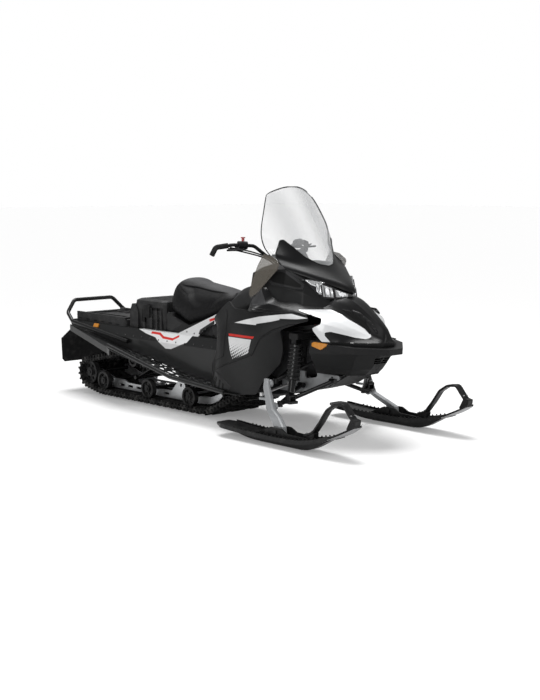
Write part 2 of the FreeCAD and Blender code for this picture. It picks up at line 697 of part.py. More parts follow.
LID_HINGE_X = BOX_REAR_X + 38.0
LID_HINGE_Z = BOX_RIM_Z + 6.0


def cargo_lid():
    """The ribbed lid of the cargo box, turning on a rear hinge."""
    low = BOX_RIM_Z + SEAT_GAP
    high = BOX_RIM_Z + LID_THICK
    rear = BOX_REAR_X + 52
    lid = loft([rounded_section(rear, BOX_FRONT_X + 4, BOX_HALF + 5, low, 24.0),
                rounded_section(rear, BOX_FRONT_X + 2, BOX_HALF + 3, high - 10, 26.0),
                rounded_section(rear + 14, BOX_FRONT_X - 12, BOX_HALF - 14, high, 34.0)], True)
    hollow = loft([rounded_section(rear + 9, BOX_FRONT_X - 8, BOX_HALF - 8, low - 1, 24.0),
                   rounded_section(rear + 14, BOX_FRONT_X - 14, BOX_HALF - 14, high - 8, 26.0)], True)
    grooves = []
    for i in range(9):
        x = rear + 52 + 30 * i
        grooves.append(slab("z", [(x - 6, -BOX_HALF + 40), (x + 6, -BOX_HALF + 40), (x + 6, BOX_HALF - 40), (x - 6, BOX_HALF - 40)], high - 4, high + 10, 5.5))
    lid = lid.cut(hollow).cut(union(grooves))
    knuckles = [disc((LID_HINGE_X, LID_HINGE_Z), 6.5, y - 26, y + 26) for y in (-110.0, 110.0)]
    leaves = [block(LID_HINGE_X - 2, rear + 8, y - 26, y + 26, LID_HINGE_Z - 3, LID_HINGE_Z + 4) for y in (-110.0, 110.0)]
    return union([lid] + knuckles + leaves)


def box_latches():
    """A rubber strap latch on each side of the cargo box."""
    made = []
    middle = BOX_REAR_X + 200
    y = BOX_HALF + 6 + SEAT_GAP
    pull = slab("y", [(middle - 34, BOX_RIM_Z - 92), (middle + 34, BOX_RIM_Z - 92), (middle + 34, BOX_RIM_Z - 8), (middle - 34, BOX_RIM_Z - 8)], -y - 11, -y, 12.0)
    made.append(pull)
    return made + [mirrored(pull)]


def seat_section(x, half, low, high, crown):
    """A rounded section across the seat."""
    right = [(0.0, low), (0.72 * half, low + 2), (0.98 * half, low + 0.22 * (high - low)), (0.94 * half, low + 0.55 * (high - low)),
             (0.70 * half, high - 0.14 * (high - low)), (0.40 * half, high - crown)]
    left = [(-y, z) for y, z in reversed(right[1:])]
    return [(x, y, z) for y, z in right + [(0.0, high)] + left]


def seat():
    """The rider's saddle: a long cushion that narrows to the front and rises behind into a bolster."""
    cushion = smooth_loft([
        seat_section(-447.0, 116.0, 688.0, 808.0, 4.0),
        seat_section(-431.0, 162.0, 640.0, 856.0, 6.0),
        seat_section(-390.0, 186.0, 628.0, 880.0, 8.0),
        seat_section(-320.0, 196.0, 606.0, 874.0, 6.0),
        seat_section(-240.0, 198.0, 582.0, 848.0, 3.0),
        seat_section(-120.0, 184.0, 604.0, 836.0, 3.0),
        seat_section(0.0, 158.0, 642.0, 824.0, 4.0),
        seat_section(84.0, 132.0, 690.0, 808.0, 5.0),
        seat_section(118.0, 104.0, 720.0, 796.0, 5.0),
    ])
    raised = V(0, 0, SEAT_GAP)
    return cushion.cut(seat_base().translated(raised)).cut(console().translated(raised))


def seat_base():
    """The hard pan and side skirts under the saddle."""
    low = TUNNEL_TOP_Z + SEAT_GAP
    return slab("y", [(-446.0, low), (-448.0, 652.0), (-430.0, 650.0), (-215.0, 583.0), (34.0, 662.0), (34.0, low)], -186.0, 186.0, [10.0, 6.0, 6.0, 24.0, 4.0, 0.0])


def console():
    """The tank cover between the saddle and the dash, wider at the knees."""
    def station(x, base, knee, knee_z, top_half, top_z):
        right = [(base, TUNNEL_TOP_Z + SEAT_GAP), (knee, knee_z - 60), (knee, knee_z), (top_half + 0.45 * (knee - top_half), top_z - 0.28 * (top_z - knee_z)), (top_half, top_z)]
        return [(x, y, z) for y, z in right] + [(x, -y, z) for y, z in reversed(right)]
    return loft([
        station(38.0, 190.0, 196.0, 620.0, 120.0, 668.0),
        station(128.0, 216.0, 221.7, 650.0, 126.0, 738.0),
        station(205.0, 222.0, 232.0, 680.0, 130.0, 812.0),
        station(340.0, 226.0, 240.0, 730.0, 136.0, 872.0),
        station(CONSOLE_FRONT_X, 226.0, 240.0, 780.0, 150.0, 940.0),
    ])


def fuel_cap():
    """The filler cap with finger grips, on the top of the console."""
    centre = V(262.0, 0.0, 830.0)
    axis = V(-0.40, 0, 0.92)
    cap = Part.makeCylinder(44.0, 42.0, centre, axis)
    grips = []
    side = V(0, 1, 0)
    ahead = axis.cross(side).normalize()
    for i in range(8):
        angle = math.radians(45 * i)
        at = centre + (side * math.cos(angle) + ahead * math.sin(angle)) * 48.0
        grips.append(Part.makeCylinder(9.0, 60.0, at, axis))
    return cap.cut(union(grips)).cut(console())


BRACE_IN = 222.0


def side_braces():
    """The bright diagonal plates from the tunnel shoulders up to the console."""
    low = TUNNEL_TOP_Z + SEAT_GAP
    outline = [(-292.0, low), (152.0, 700.0), (146.0, 640.0), (20.0, 590.0), (-40.0, 556.0), (-74.0, low)]
    plate = slab("y", outline, -BRACE_IN - 6, -BRACE_IN, [4.0, 4.0, 10.0, 60.0, 60.0, 8.0])
    holes = union([disc((-190.0, 545.0), 7.0, -300, -200), disc((-112.0, 540.0), 7.0, -300, -200)])
    plate = plate.cut(holes).cut(console())
    return [plate, mirrored(plate)]


SIDE_X = (110.0, 250.0, 400.0, 550.0, 700.0, 760.0, 850.0, 1000.0, 1080.0)
SIDE_Z = (215.0, 300.0, 400.0, 500.0, 600.0, 680.0, 745.0, 800.0)
SIDE_BULGE = (
    (345.0, 362.0, 366.0, 340.0, 298.0, 262.0, 200.0, 120.0, 90.0),
    (338.0, 368.0, 376.0, 354.0, 314.0, 276.0, 205.0, 120.0, 90.0),
    (318.0, 362.0, 384.0, 372.0, 334.0, 292.0, 210.0, 120.0, 90.0),
    (302.0, 350.0, 384.0, 385.0, 352.0, 306.0, 216.0, 130.0, 100.0),
    (290.0, 338.0, 376.0, 388.0, 370.0, 336.0, 268.0, 200.0, 180.0),
    (280.0, 326.0, 362.0, 378.0, 374.0, 366.0, 346.0, 312.0, 294.0),
    (266.0, 308.0, 344.0, 362.0, 361.0, 356.0, 342.0, 308.0, 288.0),
    (246.0, 286.0, 322.0, 340.0, 337.0, 332.0, 315.0, 284.0, 266.0),
)


def side_wall(thick, inset):
    """The right side's bulged wall, before it is cut to outline."""
    rows = [[(x, -(bulge - inset), z) for x, bulge in zip(SIDE_X, row)] for z, row in zip(SIDE_Z, SIDE_BULGE)]
    return skin(rows, thick)


SEAM_Z = 752.0


def board_top(x):
    """The running board's upper face, ahead of its knee."""
    slope = (BOARD_TOE[1] - BOARD_KNEE[1]) / (BOARD_TOE[0] - BOARD_KNEE[0])
    return BOARD_TOE[1] + slope * (x - BOARD_TOE[0]) + BOARD_SHEET


def side_outline():
    """The right side panel's outline, seen from the side."""
    foot = [(150.0, board_top(150.0) + SEAT_GAP), (BOARD_TOE[0], board_top(BOARD_TOE[0]) + SEAT_GAP), (600.0, 236.0)]
    front = [(660.0, 318.0), (715.0, 372.0), (768.0, 440.0), (785.0, 520.0), (796.0, 596.0), (814.0, 650.0)]
    top = [(960.0, 700.0), (1030.0, 718.0), (1000.0, SEAM_Z), (420.0, SEAM_Z), (330.0, 792.0), (262.0, 742.0)]
    rear = [(185.0, 672.0), (168.0, 604.0), (188.0, 490.0), (134.0, 376.0)]
    return foot + front + top + rear


SIDE_CORNERS = [14.0, 10.0, 40.0, 60.0, 60.0, 60.0, 60.0, 60.0, 40.0, 60.0, 8.0, 20.0, 60.0, 30.0, 30.0, 50.0, 50.0, 60.0, 60.0]


def side_panel():
    """The right side panel: bulged wall, foot vents, and a raised lower field."""
    wall = side_wall(PANEL, 0.0).common(slab("y", side_outline(), -500.0, -150.0, SIDE_CORNERS))
    vents = []
    for i in range(4):
        x = 196.0 + 27 * i
        vents.append(slab("y", [(x, 276.0), (x + 13, 274.0), (x + 3, 330.0 - 12 * i), (x - 10, 330.0 - 12 * i)], -500.0, -150.0, 4.0))
    return wall.cut(union(vents))


HOOD_X = (560.0, 700.0, 800.0, 900.0, 1000.0, 1100.0, 1200.0, 1290.0, 1340.0, 1368.0, 1380.0)
HOOD_HALF = (
    ((0, 905), (42, 903), (84, 899), (130, 891), (190, 880), (280, 852), (338, 800), (362, 752), (376, 690)),
    ((0, 900), (41, 897), (82, 892), (128, 882), (185, 868), (272, 840), (334, 798), (360, 752), (372, 684)),
    ((0, 887), (40, 884), (80, 878), (124, 866), (178, 850), (262, 822), (325, 788), (351, 752), (366, 672)),
    ((0, 873), (40, 870), (80, 862), (120, 848), (172, 826), (250, 798), (308, 770), (332, 740), (338, 650)),
    ((0, 858), (54, 852), (98, 829), (120, 806), (156, 782), (228, 762), (286, 742), (304, 700), (298, 622)),
    ((0, 843), (48, 836), (84, 800), (99, 776), (122, 753), (200, 732), (254, 704), (270, 656), (262, 590)),
    ((0, 792), (38, 786), (68, 740), (78, 720), (92, 704), (148, 684), (166, 664), (178, 630), (212, 588)),
    ((0, 728), (29, 722), (52, 672), (59, 656), (66, 644), (84, 638), (96, 626), (116, 612), (160, 588)),
    ((0, 686), (24, 680), (42, 640), (47, 630), (54, 622), (66, 616), (76, 610), (92, 602), (118, 588)),
    ((0, 648), (20, 643), (34, 624), (38, 618), (44, 612), (53, 607), (61, 602), (72, 597), (90, 588)),
    ((0, 604), (16, 603), (29, 600), (33, 599), (38, 597), (45, 595), (52, 593), (60, 591), (74, 588)),
)


def hood_wall(thick):
    """The whole hood as one moulded wall, from its right edge over the middle to its left edge."""
    sections = []
    for x, half in zip(HOOD_X, HOOD_HALF):
        outer = [(-y, z) for y, z in reversed(half)] + list(half[1:])
        inner = []
        for i, (y, z) in enumerate(outer):
            before, after = outer[max(i - 1, 0)], outer[min(i + 1, len(outer) - 1)]
            run, rise = after[0] - before[0], after[1] - before[1]
            length = math.hypot(run, rise)
            inner.append((y + thick * rise / length, z - thick * run / length))
        sections.append([(x, y, z) for y, z in outer + inner[::-1]])
    return loft(sections)


def hood_trim():
    """What is kept of the hood, seen from the side: its lower edge, and the open wheel bay behind it."""
    return slab("y", [(560.0, SEAM_Z + SEAT_GAP), (1000.0 + 2, SEAM_Z + SEAT_GAP), (1033.0, 716.0), (1046.0, 660.0), (1092.0, 600.0),
                      (1400.0, 600.0), (1400.0, 960.0), (560.0, 960.0)], -500.0, 500.0, [0, 6.0, 6.0, 10.0, 10.0, 0, 0, 0])


WHITE_OUTLINE = [(900.0, 778.0), (1044.0, 775.0), (1112.0, 750.0), (1192.0, 708.0), (1268.0, 664.0), (1310.0, 628.0), (1290.0, 620.0),
                 (1239.0, 627.0), (1135.0, 660.0), (1112.0, 655.0), (1112.0, 636.0), (1146.0, 590.0), (1060.0, 604.0), (1029.0, 669.0),
                 (1089.0, 706.0), (1063.0, 732.0)]
WHITE_CORNERS = [3.0, 60.0, 60.0, 60.0, 60.0, 8.0, 10.0, 60.0, 20.0, 8.0, 8.0, 3.0, 3.0, 10.0, 12.0, 30.0]


def white_field():
    """The space that the right bright hood panel is cut from."""
    return slab("y", WHITE_OUTLINE, -400.0, -30.0, WHITE_CORNERS)


def hood_parts():
    """The dark hood and the two bright side panels let into it."""
    whole = hood_wall(PANEL).common(hood_trim())
    field = white_field()
    right = whole.common(field)
    left = mirrored(right)
    dark = whole.cut(field.fuse(mirrored(field)))
    return max(dark.Solids, key=lambda piece: piece.Volume), right, left


CONSOLE_FRONT_X = 470.0
POD_SECTIONS = (
    (CONSOLE_FRONT_X + SEAT_GAP, ((250, 800), (258, 880), (238, 968), (150, 1000))),
    (620.0, ((286, 790), (282, 890), (256, 996), (160, 1036))),
    (780.0, ((284, 780), (276, 890), (250, 1006), (150, 1034))),
    (900.0, ((246, 770), (230, 870), (186, 928), (96, 950))),
    (1000.0, ((160, 770), (138, 800), (98, 826), (56, 890))),
    (1062.0, ((66, 770), (54, 796), (36, 812), (18, 850))),
)


def pod_block():
    """The headlamp pod and dash body as one closed form, before the lamp and gauge are let in."""
    sections = []
    for x, half in POD_SECTIONS:
        right = [(x, -y, z) for y, z in half]
        sections.append(right + [(x, y, z) for y, z in reversed(half)])
    return loft(sections, True)


LAMP = (
    (0.0, (1088.0, 855.0), (1084.0, 815.0)),
    (58.0, (1036.0, 885.0), (1047.0, 834.0)),
    (106.0, (984.0, 914.0), (1004.0, 833.0)),
    (150.0, (942.0, 938.0), (960.0, 838.0)),
    (174.0, (918.0, 943.0), (932.0, 886.0)),
    (210.0, (886.0, 949.0), (890.0, 941.0)),
)
LAMP_DEPTH = 46.0


def lamp_body(depth, drop):
    """The headlamp's wedge across the pod, low in the middle and swept up at both ends."""
    sections = []
    for y, (tx, tz), (lx, lz) in LAMP[::-1]:
        sections.append([(tx, -y, tz - drop), (lx, -y, lz), (lx - depth, -y, lz), (tx - depth, -y, tz - drop)])
    for y, (tx, tz), (lx, lz) in LAMP[1:]:
        sections.append([(tx, y, tz - drop), (lx, y, lz), (lx - depth, y, lz), (tx - depth, y, tz - drop)])
    return loft(sections, True)


GLASS_ROWS = (
    (1104.0, 869.0, 778.0, 252.0, 1002.0, 1.15),
    (996.0, 952.0, 682.0, 266.0, 1066.0, 1.45),
    (874.0, 1032.0, 618.0, 278.0, 1128.0, 1.9),
    (788.0, 1142.0, 600.0, 289.0, 1204.0, 2.4),
    (707.0, 1262.0, 584.0, 266.0, 1290.0, 2.3),
    (636.0, 1384.0, 560.0, 224.0, 1380.0, 2.1),
    (566.0, 1494.0, 530.0, 180.0, 1448.0, 2.0),
)
GLASS_COLUMNS = 9


def glass_rows():
    """The rows of points on the outside of the windshield, from its foot to its top edge."""
    rows = []
    for mid_x, mid_z, side_x, side_y, side_z, power in GLASS_ROWS:
        row = []
        for i in range(GLASS_COLUMNS):
            share = 2.0 * i / (GLASS_COLUMNS - 1) - 1.0
            bend = abs(share) ** power
            row.append((mid_x + (side_x - mid_x) * bend, share * side_y, mid_z + (side_z - mid_z) * bend))
        rows.append(row)
    return rows


def cowl_field():
    """The front view of the dark cowl at the windshield's foot."""
    right = [(0.0, 1018.0), (-60.0, 1030.0), (-120.0, 1072.0), (-170.0, 1136.0), (-204.0, 1176.0), (-222.0, 1170.0), (-262.0, 1020.0), (-300.0, 980.0), (-300.0, 800.0)]
    left = [(-y, z) for y, z in reversed(right[1:])]
    radii = [80.0, 60.0, 60.0, 60.0, 10.0, 10.0, 20.0, 0, 0]
    return slab("x", right + left, 300.0, 1300.0, radii + radii[:0:-1])


def windshield_parts():
    """The clear windshield and the dark cowl that carries it."""
    wall = bent_wall(glass_rows(), GLAZING).cut(pod_block().translated(V(0, 0, SEAT_GAP)))
    crown = slab("x", [(-300.0, 800.0), (300.0, 800.0), (300.0, 1330.0), (186.0, 1438.0), (100.0, 1500.0), (-100.0, 1500.0), (-186.0, 1438.0), (-300.0, 1330.0)],
                 300.0, 1300.0, [0, 0, 200.0, 40.0, 120.0, 120.0, 40.0, 200.0])
    wall = wall.common(crown)
    field = cowl_field()
    return wall.cut(field), wall.common(field)


def deflectors():
    """The smoked wind wings beside the dash, each on a stay."""
    outline = [(506.0, 846.0), (524.0, 824.0), (584.0, 856.0), (672.0, 938.0), (742.0, 1000.0), (760.0, 1040.0), (700.0, 1078.0),
               (619.0, 1091.0), (570.0, 1017.0), (534.0, 936.0)]
    made = []
    wing = slab("y", outline, -306.0, -302.0, [8.0, 8.0, 30.0, 30.0, 20.0, 20.0, 30.0, 12.0, 60.0, 60.0])
    wing.rotate(V(560, -306, 838), V(1, 0, 0), -4.0)
    stay = rod((590.0, -256.0, 900.0), (590.0, -300.0, 905.0), 7.0)
    made.append(wing.fuse(stay.cut(pod_block())))
    return made + [mirrored(made[0])]


def gauge():
    """The instrument cluster with its hooded face, on the dash behind the windshield."""
    body = slab("y", [(500.0, 990.0), (512.0, 1022.0), (560.0, 1104.0), (584.0, 1104.0), (640.0, 1030.0), (640.0, 990.0)], -92.0, 92.0, 8.0)
    return body.cut(pod_block())


HOOD_LOW_Z = 600.0
FASCIA = (
    (396.5 + PANEL + SEAT_GAP, 214.0, (1192.0, 132.0), (1250.0, 52.0)),
    (432.0, 226.0, (1216.0, 142.0), (1284.0, 54.0)),
    (530.0, 276.0, (1272.0, 164.0), (1366.0, 50.0)),
    (HOOD_LOW_Z - SEAT_GAP, 270.0, (1278.0, 176.0), (1380.0, 50.0)),
)
FASCIA_REAR_X = 1000.0


def fascia_block(inset):
    """The nose below the hood as a closed form, faceted in plan."""
    sections = []
    for z, rear, (cx, cy), (fx, fy) in FASCIA:
        half = [(FASCIA_REAR_X - 3 * inset, rear - inset), (cx - 0.6 * inset, cy - 0.9 * inset), (fx - inset, fy - 0.4 * inset)]
        sections.append([(x, -y, z) for x, y in half] + [(x, y, z) for x, y in reversed(half)])
    return loft(sections, True)


def nose_fascia():
    """The angular nose moulding with its grille opening."""
    shell = fascia_block(0.0).cut(fascia_block(PANEL))
    rear = block(980.0, 1006.0, -FASCIA[0][1] + PANEL, FASCIA[0][1] - PANEL, 395.0, 610.0)
    grille = slab("x", [(-58.0, 470.0), (58.0, 470.0), (70.0, 512.0), (-70.0, 512.0)], 1200.0, 1400.0, 8.0)
    return shell.cut(rear).cut(grille)


def nose_grille():
    """Slats behind the nose opening, with a post."""
    inside = fascia_block(PANEL + SEAT_GAP)
    made = [block(1250.0, 1400.0, -100.0, 100.0, z, z + 4) for z in (464.0, 478.0, 492.0, 506.0)]
    made.append(block(1286.0, 1400.0, -6.0, 6.0, 464.0, 510.0))
    return union([m.common(inside) for m in made])


def front_bumper():
    """The heavy lip round the nose, sloping a little down to the front, with the nose cut out of its middle."""
    outer = [(BUMPER_REAR_X, -276.0), (1296.0, -212.0), (NOSE_X + 42, -58.0)]
    outline = outer + [(x, -y) for x, y in reversed(outer)]
    lip = slab("z", outline, 560.0, 560.0 + BUMPER_LIP_HEIGHT, [14.0, 60.0, 16.0, 16.0, 60.0, 14.0])
    lip.rotate(V(1006, 0, 580), V(0, 1, 0), 4.0)
    return lip.cut(fascia_block(0.0)).cut(block(900.0, BUMPER_REAR_X + 30, -200.0, 200.0, 500.0, 700.0))


PAN_LINE = ((TUNNEL_FRONT_X + SEAT_GAP, 240.0), (780.0, 246.0), (1010.0, 306.0), (1180.0, 396.5), (1248.0, 396.5))
PAN_TOP = PANEL + SEAT_GAP
GUARD_REAR = (430.0, 166.0)
GUARD_HALF = 246.0


def belly_pan():
    """The pan that closes the nose and engine bay below, with a chin in front."""
    band = [(x, z) for x, z in PAN_LINE] + [(x, z + PANEL) for x, z in reversed(PAN_LINE)]
    rear = PAN_LINE[0][0]
    plan = [(rear, -300.0), (680.0, -290.0), (760.0, -170.0), (800.0, -134.0), (1100.0, -126.0), (1190.0, -132.0), (1250.0, -52.0)]
    plan = plan + [(x, -y) for x, y in reversed(plan)]
    radii = [0.0, 20.0, 20.0, 20.0, 20.0, 10.0, 10.0]
    return slab("y", band, -340.0, 340.0).common(slab("z", plan, 100.0, 700.0, radii + radii[::-1]))


def drive_guard():
    """The plate under the driven end of the track, hung from the tunnel's front wall."""
    top = TUNNEL_NOSE_Z - SEAT_GAP
    upper = [(GUARD_REAR[0], GUARD_REAR[1] + PANEL), (540.0, 195.0), (TUNNEL_FRONT_X, top)]
    lower = [(x, z - PANEL) for x, z in reversed(upper)]
    return slab("y", upper + lower, -GUARD_HALF, GUARD_HALF, [1.0, 60.0, 0.0, 0.0, 60.0, 1.0])


SHOCK_BOLT_R = 8.0
SHOCK_EYE = 20.0
SHOCK_FOOT = (914.0, 267.0)
SHOCK_FOOT_Y = -(SKI_HALF_STANCE - LEG_IN) + 92.0
BEAM_LOW_Z = 596.0
SHOCK_HEAD = (886.0, BEAM_LOW_Z - SHOCK_BOLT_R - 7 - SEAT_GAP)
SHOCK_HEAD_Y = -266.0


def shock_fork(at, middle_y, low, high, wide):
    """Two cheeks and a bolt that hold a damper's eye."""
    x = at[0]
    pieces = [disc(at, SHOCK_BOLT_R, middle_y - SHOCK_EYE - 6, middle_y + SHOCK_EYE + 6)]
    for side in (-1, 1):
        y0, y1 = sorted((middle_y + side * (SHOCK_EYE + SEAT_GAP), middle_y + side * (SHOCK_EYE + 6)))
        pieces.append(slab("y", [(x - wide, low), (x + wide, low), (x + wide, high), (x - wide, high)], y0, y1, 6.0))
    return pieces


def front_frame():
    """The aluminium front frame: side plates for the arm pivots and a cross beam for the damper tops."""
    start = TUNNEL_FRONT_X + SEAT_GAP
    foot = [(start, 240.0 + PAN_TOP), (780.0, 246.0 + PAN_TOP), (1010.0, 306.0 + PAN_TOP), (1116.0, 306.0 + 106.0 * 90.5 / 170.0 + PAN_TOP)]
    top = [(1090.0, 396.0), (1012.0, 400.0), (964.0, 470.0), (934.0, 600.0), (922.0, 636.0), (800.0, 636.0), (776.0, 470.0),
           (776.0, 280.0), (start, 276.0)]
    plate = slab("y", foot + top, -FRAME_Y, -FRAME_Y + 10, [0.0, 0.0, 0.0, 10.0, 16.0, 16.0, 16.0, 16.0, 16.0, 16.0, 16.0, 12.0, 0.0])
    post = block(start + 20, start + 120, -FRAME_Y, -FRAME_Y + 20, 262.0, ENGINE_LOW_Z - SEAT_GAP)
    window = slab("y", [(820.0, 340.0), (930.0, 360.0), (890.0, 500.0), (830.0, 560.0)], -140.0, -110.0, 20.0)
    hole = disc((1050.0, 366.0), 11.0, -140.0, -110.0)
    plate = plate.cut(window).cut(hole)
    beam_outline = [(848.0, BEAM_LOW_Z), (922.0, BEAM_LOW_Z), (922.0, BEAM_LOW_Z + 36), (848.0, BEAM_LOW_Z + 36)]
    beam = slab("y", beam_outline, -294.0, 294.0, 8.0)
    fork = union(shock_fork(SHOCK_HEAD, SHOCK_HEAD_Y, SHOCK_HEAD[1] - 15, BEAM_LOW_Z + 4, 18.0))
    guide = slab("y", [(TIE_ROD_X - 16, LINK_Z - 16), (800.0, LINK_Z - 16), (800.0, LINK_Z + 16), (TIE_ROD_X - 16, LINK_Z + 16)], -132.0, -96.0, 6.0)
    guide = guide.cut(disc((TIE_ROD_X, LINK_Z), LINK_R + SEAT_GAP, -200.0, 200.0))
    cross = [disc((1086.0, 372.0), 9.0, -124.0, 124.0), disc((800.0, 300.0), 9.0, -124.0, 124.0), disc((950.0, 452.0), 9.0, -124.0, 124.0)]
    sides = [plate, post, guide, fork]
    return union(sides + [mirrored(s) for s in sides] + [beam] + cross)


def engine():
    """The engine as one plain block in its bay."""
    x = TUNNEL_FRONT_X + SEAT_GAP
    return block(x, x + ENGINE_LENGTH, -ENGINE_HALF, ENGINE_HALF, ENGINE_LOW_Z, ENGINE_LOW_Z + ENGINE_HEIGHT)


LEG_Y = SKI_HALF_STANCE - LEG_IN
BALL_Y = LEG_Y - 30.0
BALL_R = 16.0
LOW_BALL = (LEG_LOW_X, -BALL_Y, LEG_LOW_Z)
TOP_BALL = (LEG_TOP_X, -BALL_Y, LEG_TOP_Z - 12)


def wishbone(ball, front, rear, radius, boss_r):
    """A control arm: a ball on a stub, and two tubes to bosses beside the front frame."""
    hub = (ball[0], ball[1] + 40, ball[2] + 9)
    inner_y = -FRAME_Y - SEAT_GAP - boss_r
    pieces = [Part.makeSphere(BALL_R, V(*ball)), rod(ball, hub, 9.0), Part.makeCylinder(radius + 4, 2 * radius + 8, V(hub[0], hub[1], hub[2] - radius - 4), V(0, 0, 1))]
    for x, z in (front, rear):
        pieces.append(rod(hub, (x, inner_y, z), radius))
        pieces.append(Part.makeCylinder(boss_r, 44.0, V(x - 22, inner_y, z), V(1, 0, 0)))
    return pieces


def lower_arm():
    """The right lower control arm, with the damper's fork on a plate between its tubes."""
    pieces = wishbone(LOW_BALL, (1070.0, 352.0), (806.0, 300.0), ARM_TUBE_R, 16.0)
    middle = SHOCK_FOOT_Y
    x = SHOCK_FOOT[0]
    pad = slab("z", [(x - 52, middle - 30), (x + 26, middle - 30), (x + 40, middle + 32), (x - 62, middle + 32)], 223.0, 238.0, 12.0)
    return union(pieces + [pad] + shock_fork(SHOCK_FOOT, middle, 230.0, SHOCK_FOOT[1] + 9, 18.0))


def upper_arm():
    """The right upper control arm."""
    return union(wishbone(TOP_BALL, (930.0, 462.0), (796.0, 452.0), UPPER_ARM_R, 13.0))


def front_shock():
    """The right coil-over damper between the lower arm and the cross beam."""
    low = (SHOCK_FOOT[0], SHOCK_FOOT_Y, SHOCK_FOOT[1])
    high = (SHOCK_HEAD[0], SHOCK_HEAD_Y, SHOCK_HEAD[1])
    return spring_shock(low, high, SHOCK_R, SPRING_R, SPRING_WIRE_R, SPRING_TURNS, SHOCK_EYE, SHOCK_BOLT_R)


def ski_leg():
    """The right leg: a lofted casting from the upper joint down to the ski saddle, with its steering arm."""
    y = -LEG_Y
    stations = (
        (LEG_TOP_Z + 18, LEG_TOP_X - 17, LEG_TOP_X + 17, y, 24.0),
        (LEG_TOP_Z - 30, LEG_TOP_X - 24, LEG_TOP_X + 22, y, 30.0),
        (LEG_LOW_Z + 40, LEG_LOW_X - 40, LEG_LOW_X + 14, y - 2, LEG_THICK),
        (LEG_LOW_Z - 8, LEG_LOW_X - 30, LEG_LOW_X + 34, y - 6, LEG_THICK),
        (158.0, 868.0, 954.0, y - 26, LEG_THICK),
        (116.0, 934.0, 1020.0, -SKI_HALF_STANCE, LEG_THICK + 4),
        (SKI_PIVOT_Z - 20, 944.0, 1026.0, -SKI_HALF_STANCE, LEG_THICK + 4),
    )
    sections = []
    for z, x0, x1, mid, wide in stations:
        h, c = 0.5 * wide, 8.0
        sections.append([(x0 + c, mid - h, z), (x1 - c, mid - h, z), (x1, mid - h + c, z), (x1, mid + h - c, z),
                         (x1 - c, mid + h, z), (x0 + c, mid + h, z), (x0, mid + h - c, z), (x0, mid - h + c, z)])
    leg = loft(sections, True)
    arm = slab("z", [(LEG_LOW_X - 30, y + 8), (LEG_LOW_X - 4, y + 8), (TIE_ROD_X + 26, y + 26), (TIE_ROD_X - 12, y + 26), (TIE_ROD_X - 12, y)],
               TIE_ROD_Z - 26, TIE_ROD_Z - 14, 10.0)
    saddle = disc((SKI_PIVOT_X, SKI_PIVOT_Z), 22.0, -SKI_HALF_STANCE - 22, -SKI_HALF_STANCE + 22)
    holes = [disc((SKI_PIVOT_X, SKI_PIVOT_Z), SKI_PIVOT_R, -SKI_HALF_STANCE - 60, -SKI_HALF_STANCE + 60)]
    cups = []
    for ball in (LOW_BALL, TOP_BALL):
        x, ball_y, z = ball
        cups.append(Part.makeSphere(BALL_R + 7, V(*ball)).common(block(x - 60, x + 60, ball_y - 60, ball_y + 4, z - 60, z + 60)))
        holes.append(Part.makeSphere(BALL_R + SEAT_GAP, V(*ball)))
    return union([leg, arm, saddle] + cups).cut(union(holes))


def tie_rods():
    """The sliding centre link and both tie rods, which end above the legs' steering arms."""
    end = LEG_Y - 18
    z, x = TIE_ROD_Z, TIE_ROD_X
    pieces = [rod((x, -LINK_END, LINK_Z), (x, LINK_END, LINK_Z), LINK_R)]
    for side in (-1, 1):
        pieces.append(rod((x, side * LINK_END, LINK_Z), (x, side * end, z + 4), TIE_ROD_R))
        pieces.append(rod((x, side * end, z - 6), (x, side * end, z + 14), 12.0))
        pieces.append(Part.makeSphere(13.0, V(x, side * LINK_END, LINK_Z)))
    return union(pieces)


SKI_LINE = ((SKI_TAIL_X, 66.0), (560.0, 58.0), (700.0, 50.0), (900.0, 46.0), (1100.0, 47.0), (1250.0, 60.0), (1380.0, 92.0), (1500.0, 140.0), (SKI_TIP_X - 6, 190.0))


def curved_band(line, below, above):
    """A face in the XZ plane that follows a smooth line."""
    def edge(shift):
        curve = Part.BSplineCurve()
        curve.interpolate([V(x, 0, z + shift) for x, z in line])
        return curve.toShape()
    low, high = edge(-below), edge(above)
    ends = [Part.LineSegment(V(x, 0, z - below), V(x, 0, z + above)).toShape() for x, z in (line[0], line[-1])]
    return Part.Face(Part.Wire([low, ends[1], high, ends[0]]))


def along_ski(face, y0, y1):
    """A face drawn in the middle plane, made solid between two distances from the right ski's own middle."""
    face = face.copy()
    face.translate(V(0, y0 - SKI_HALF_STANCE, 0))
    return face.extrude(V(0, y1 - y0, 0))


def ski_keel_line(x):
    """The keel's lower edge."""
    rise_rear, rise_front = 800.0, 1170.0
    base = 2 * SKI_RUNNER_R
    if x < rise_rear:
        return base + 44.0 * ((rise_rear - x) / 240.0) ** 2
    if x > rise_front:
        return base + 116.0 * ((x - rise_front) / 360.0) ** 2
    return base


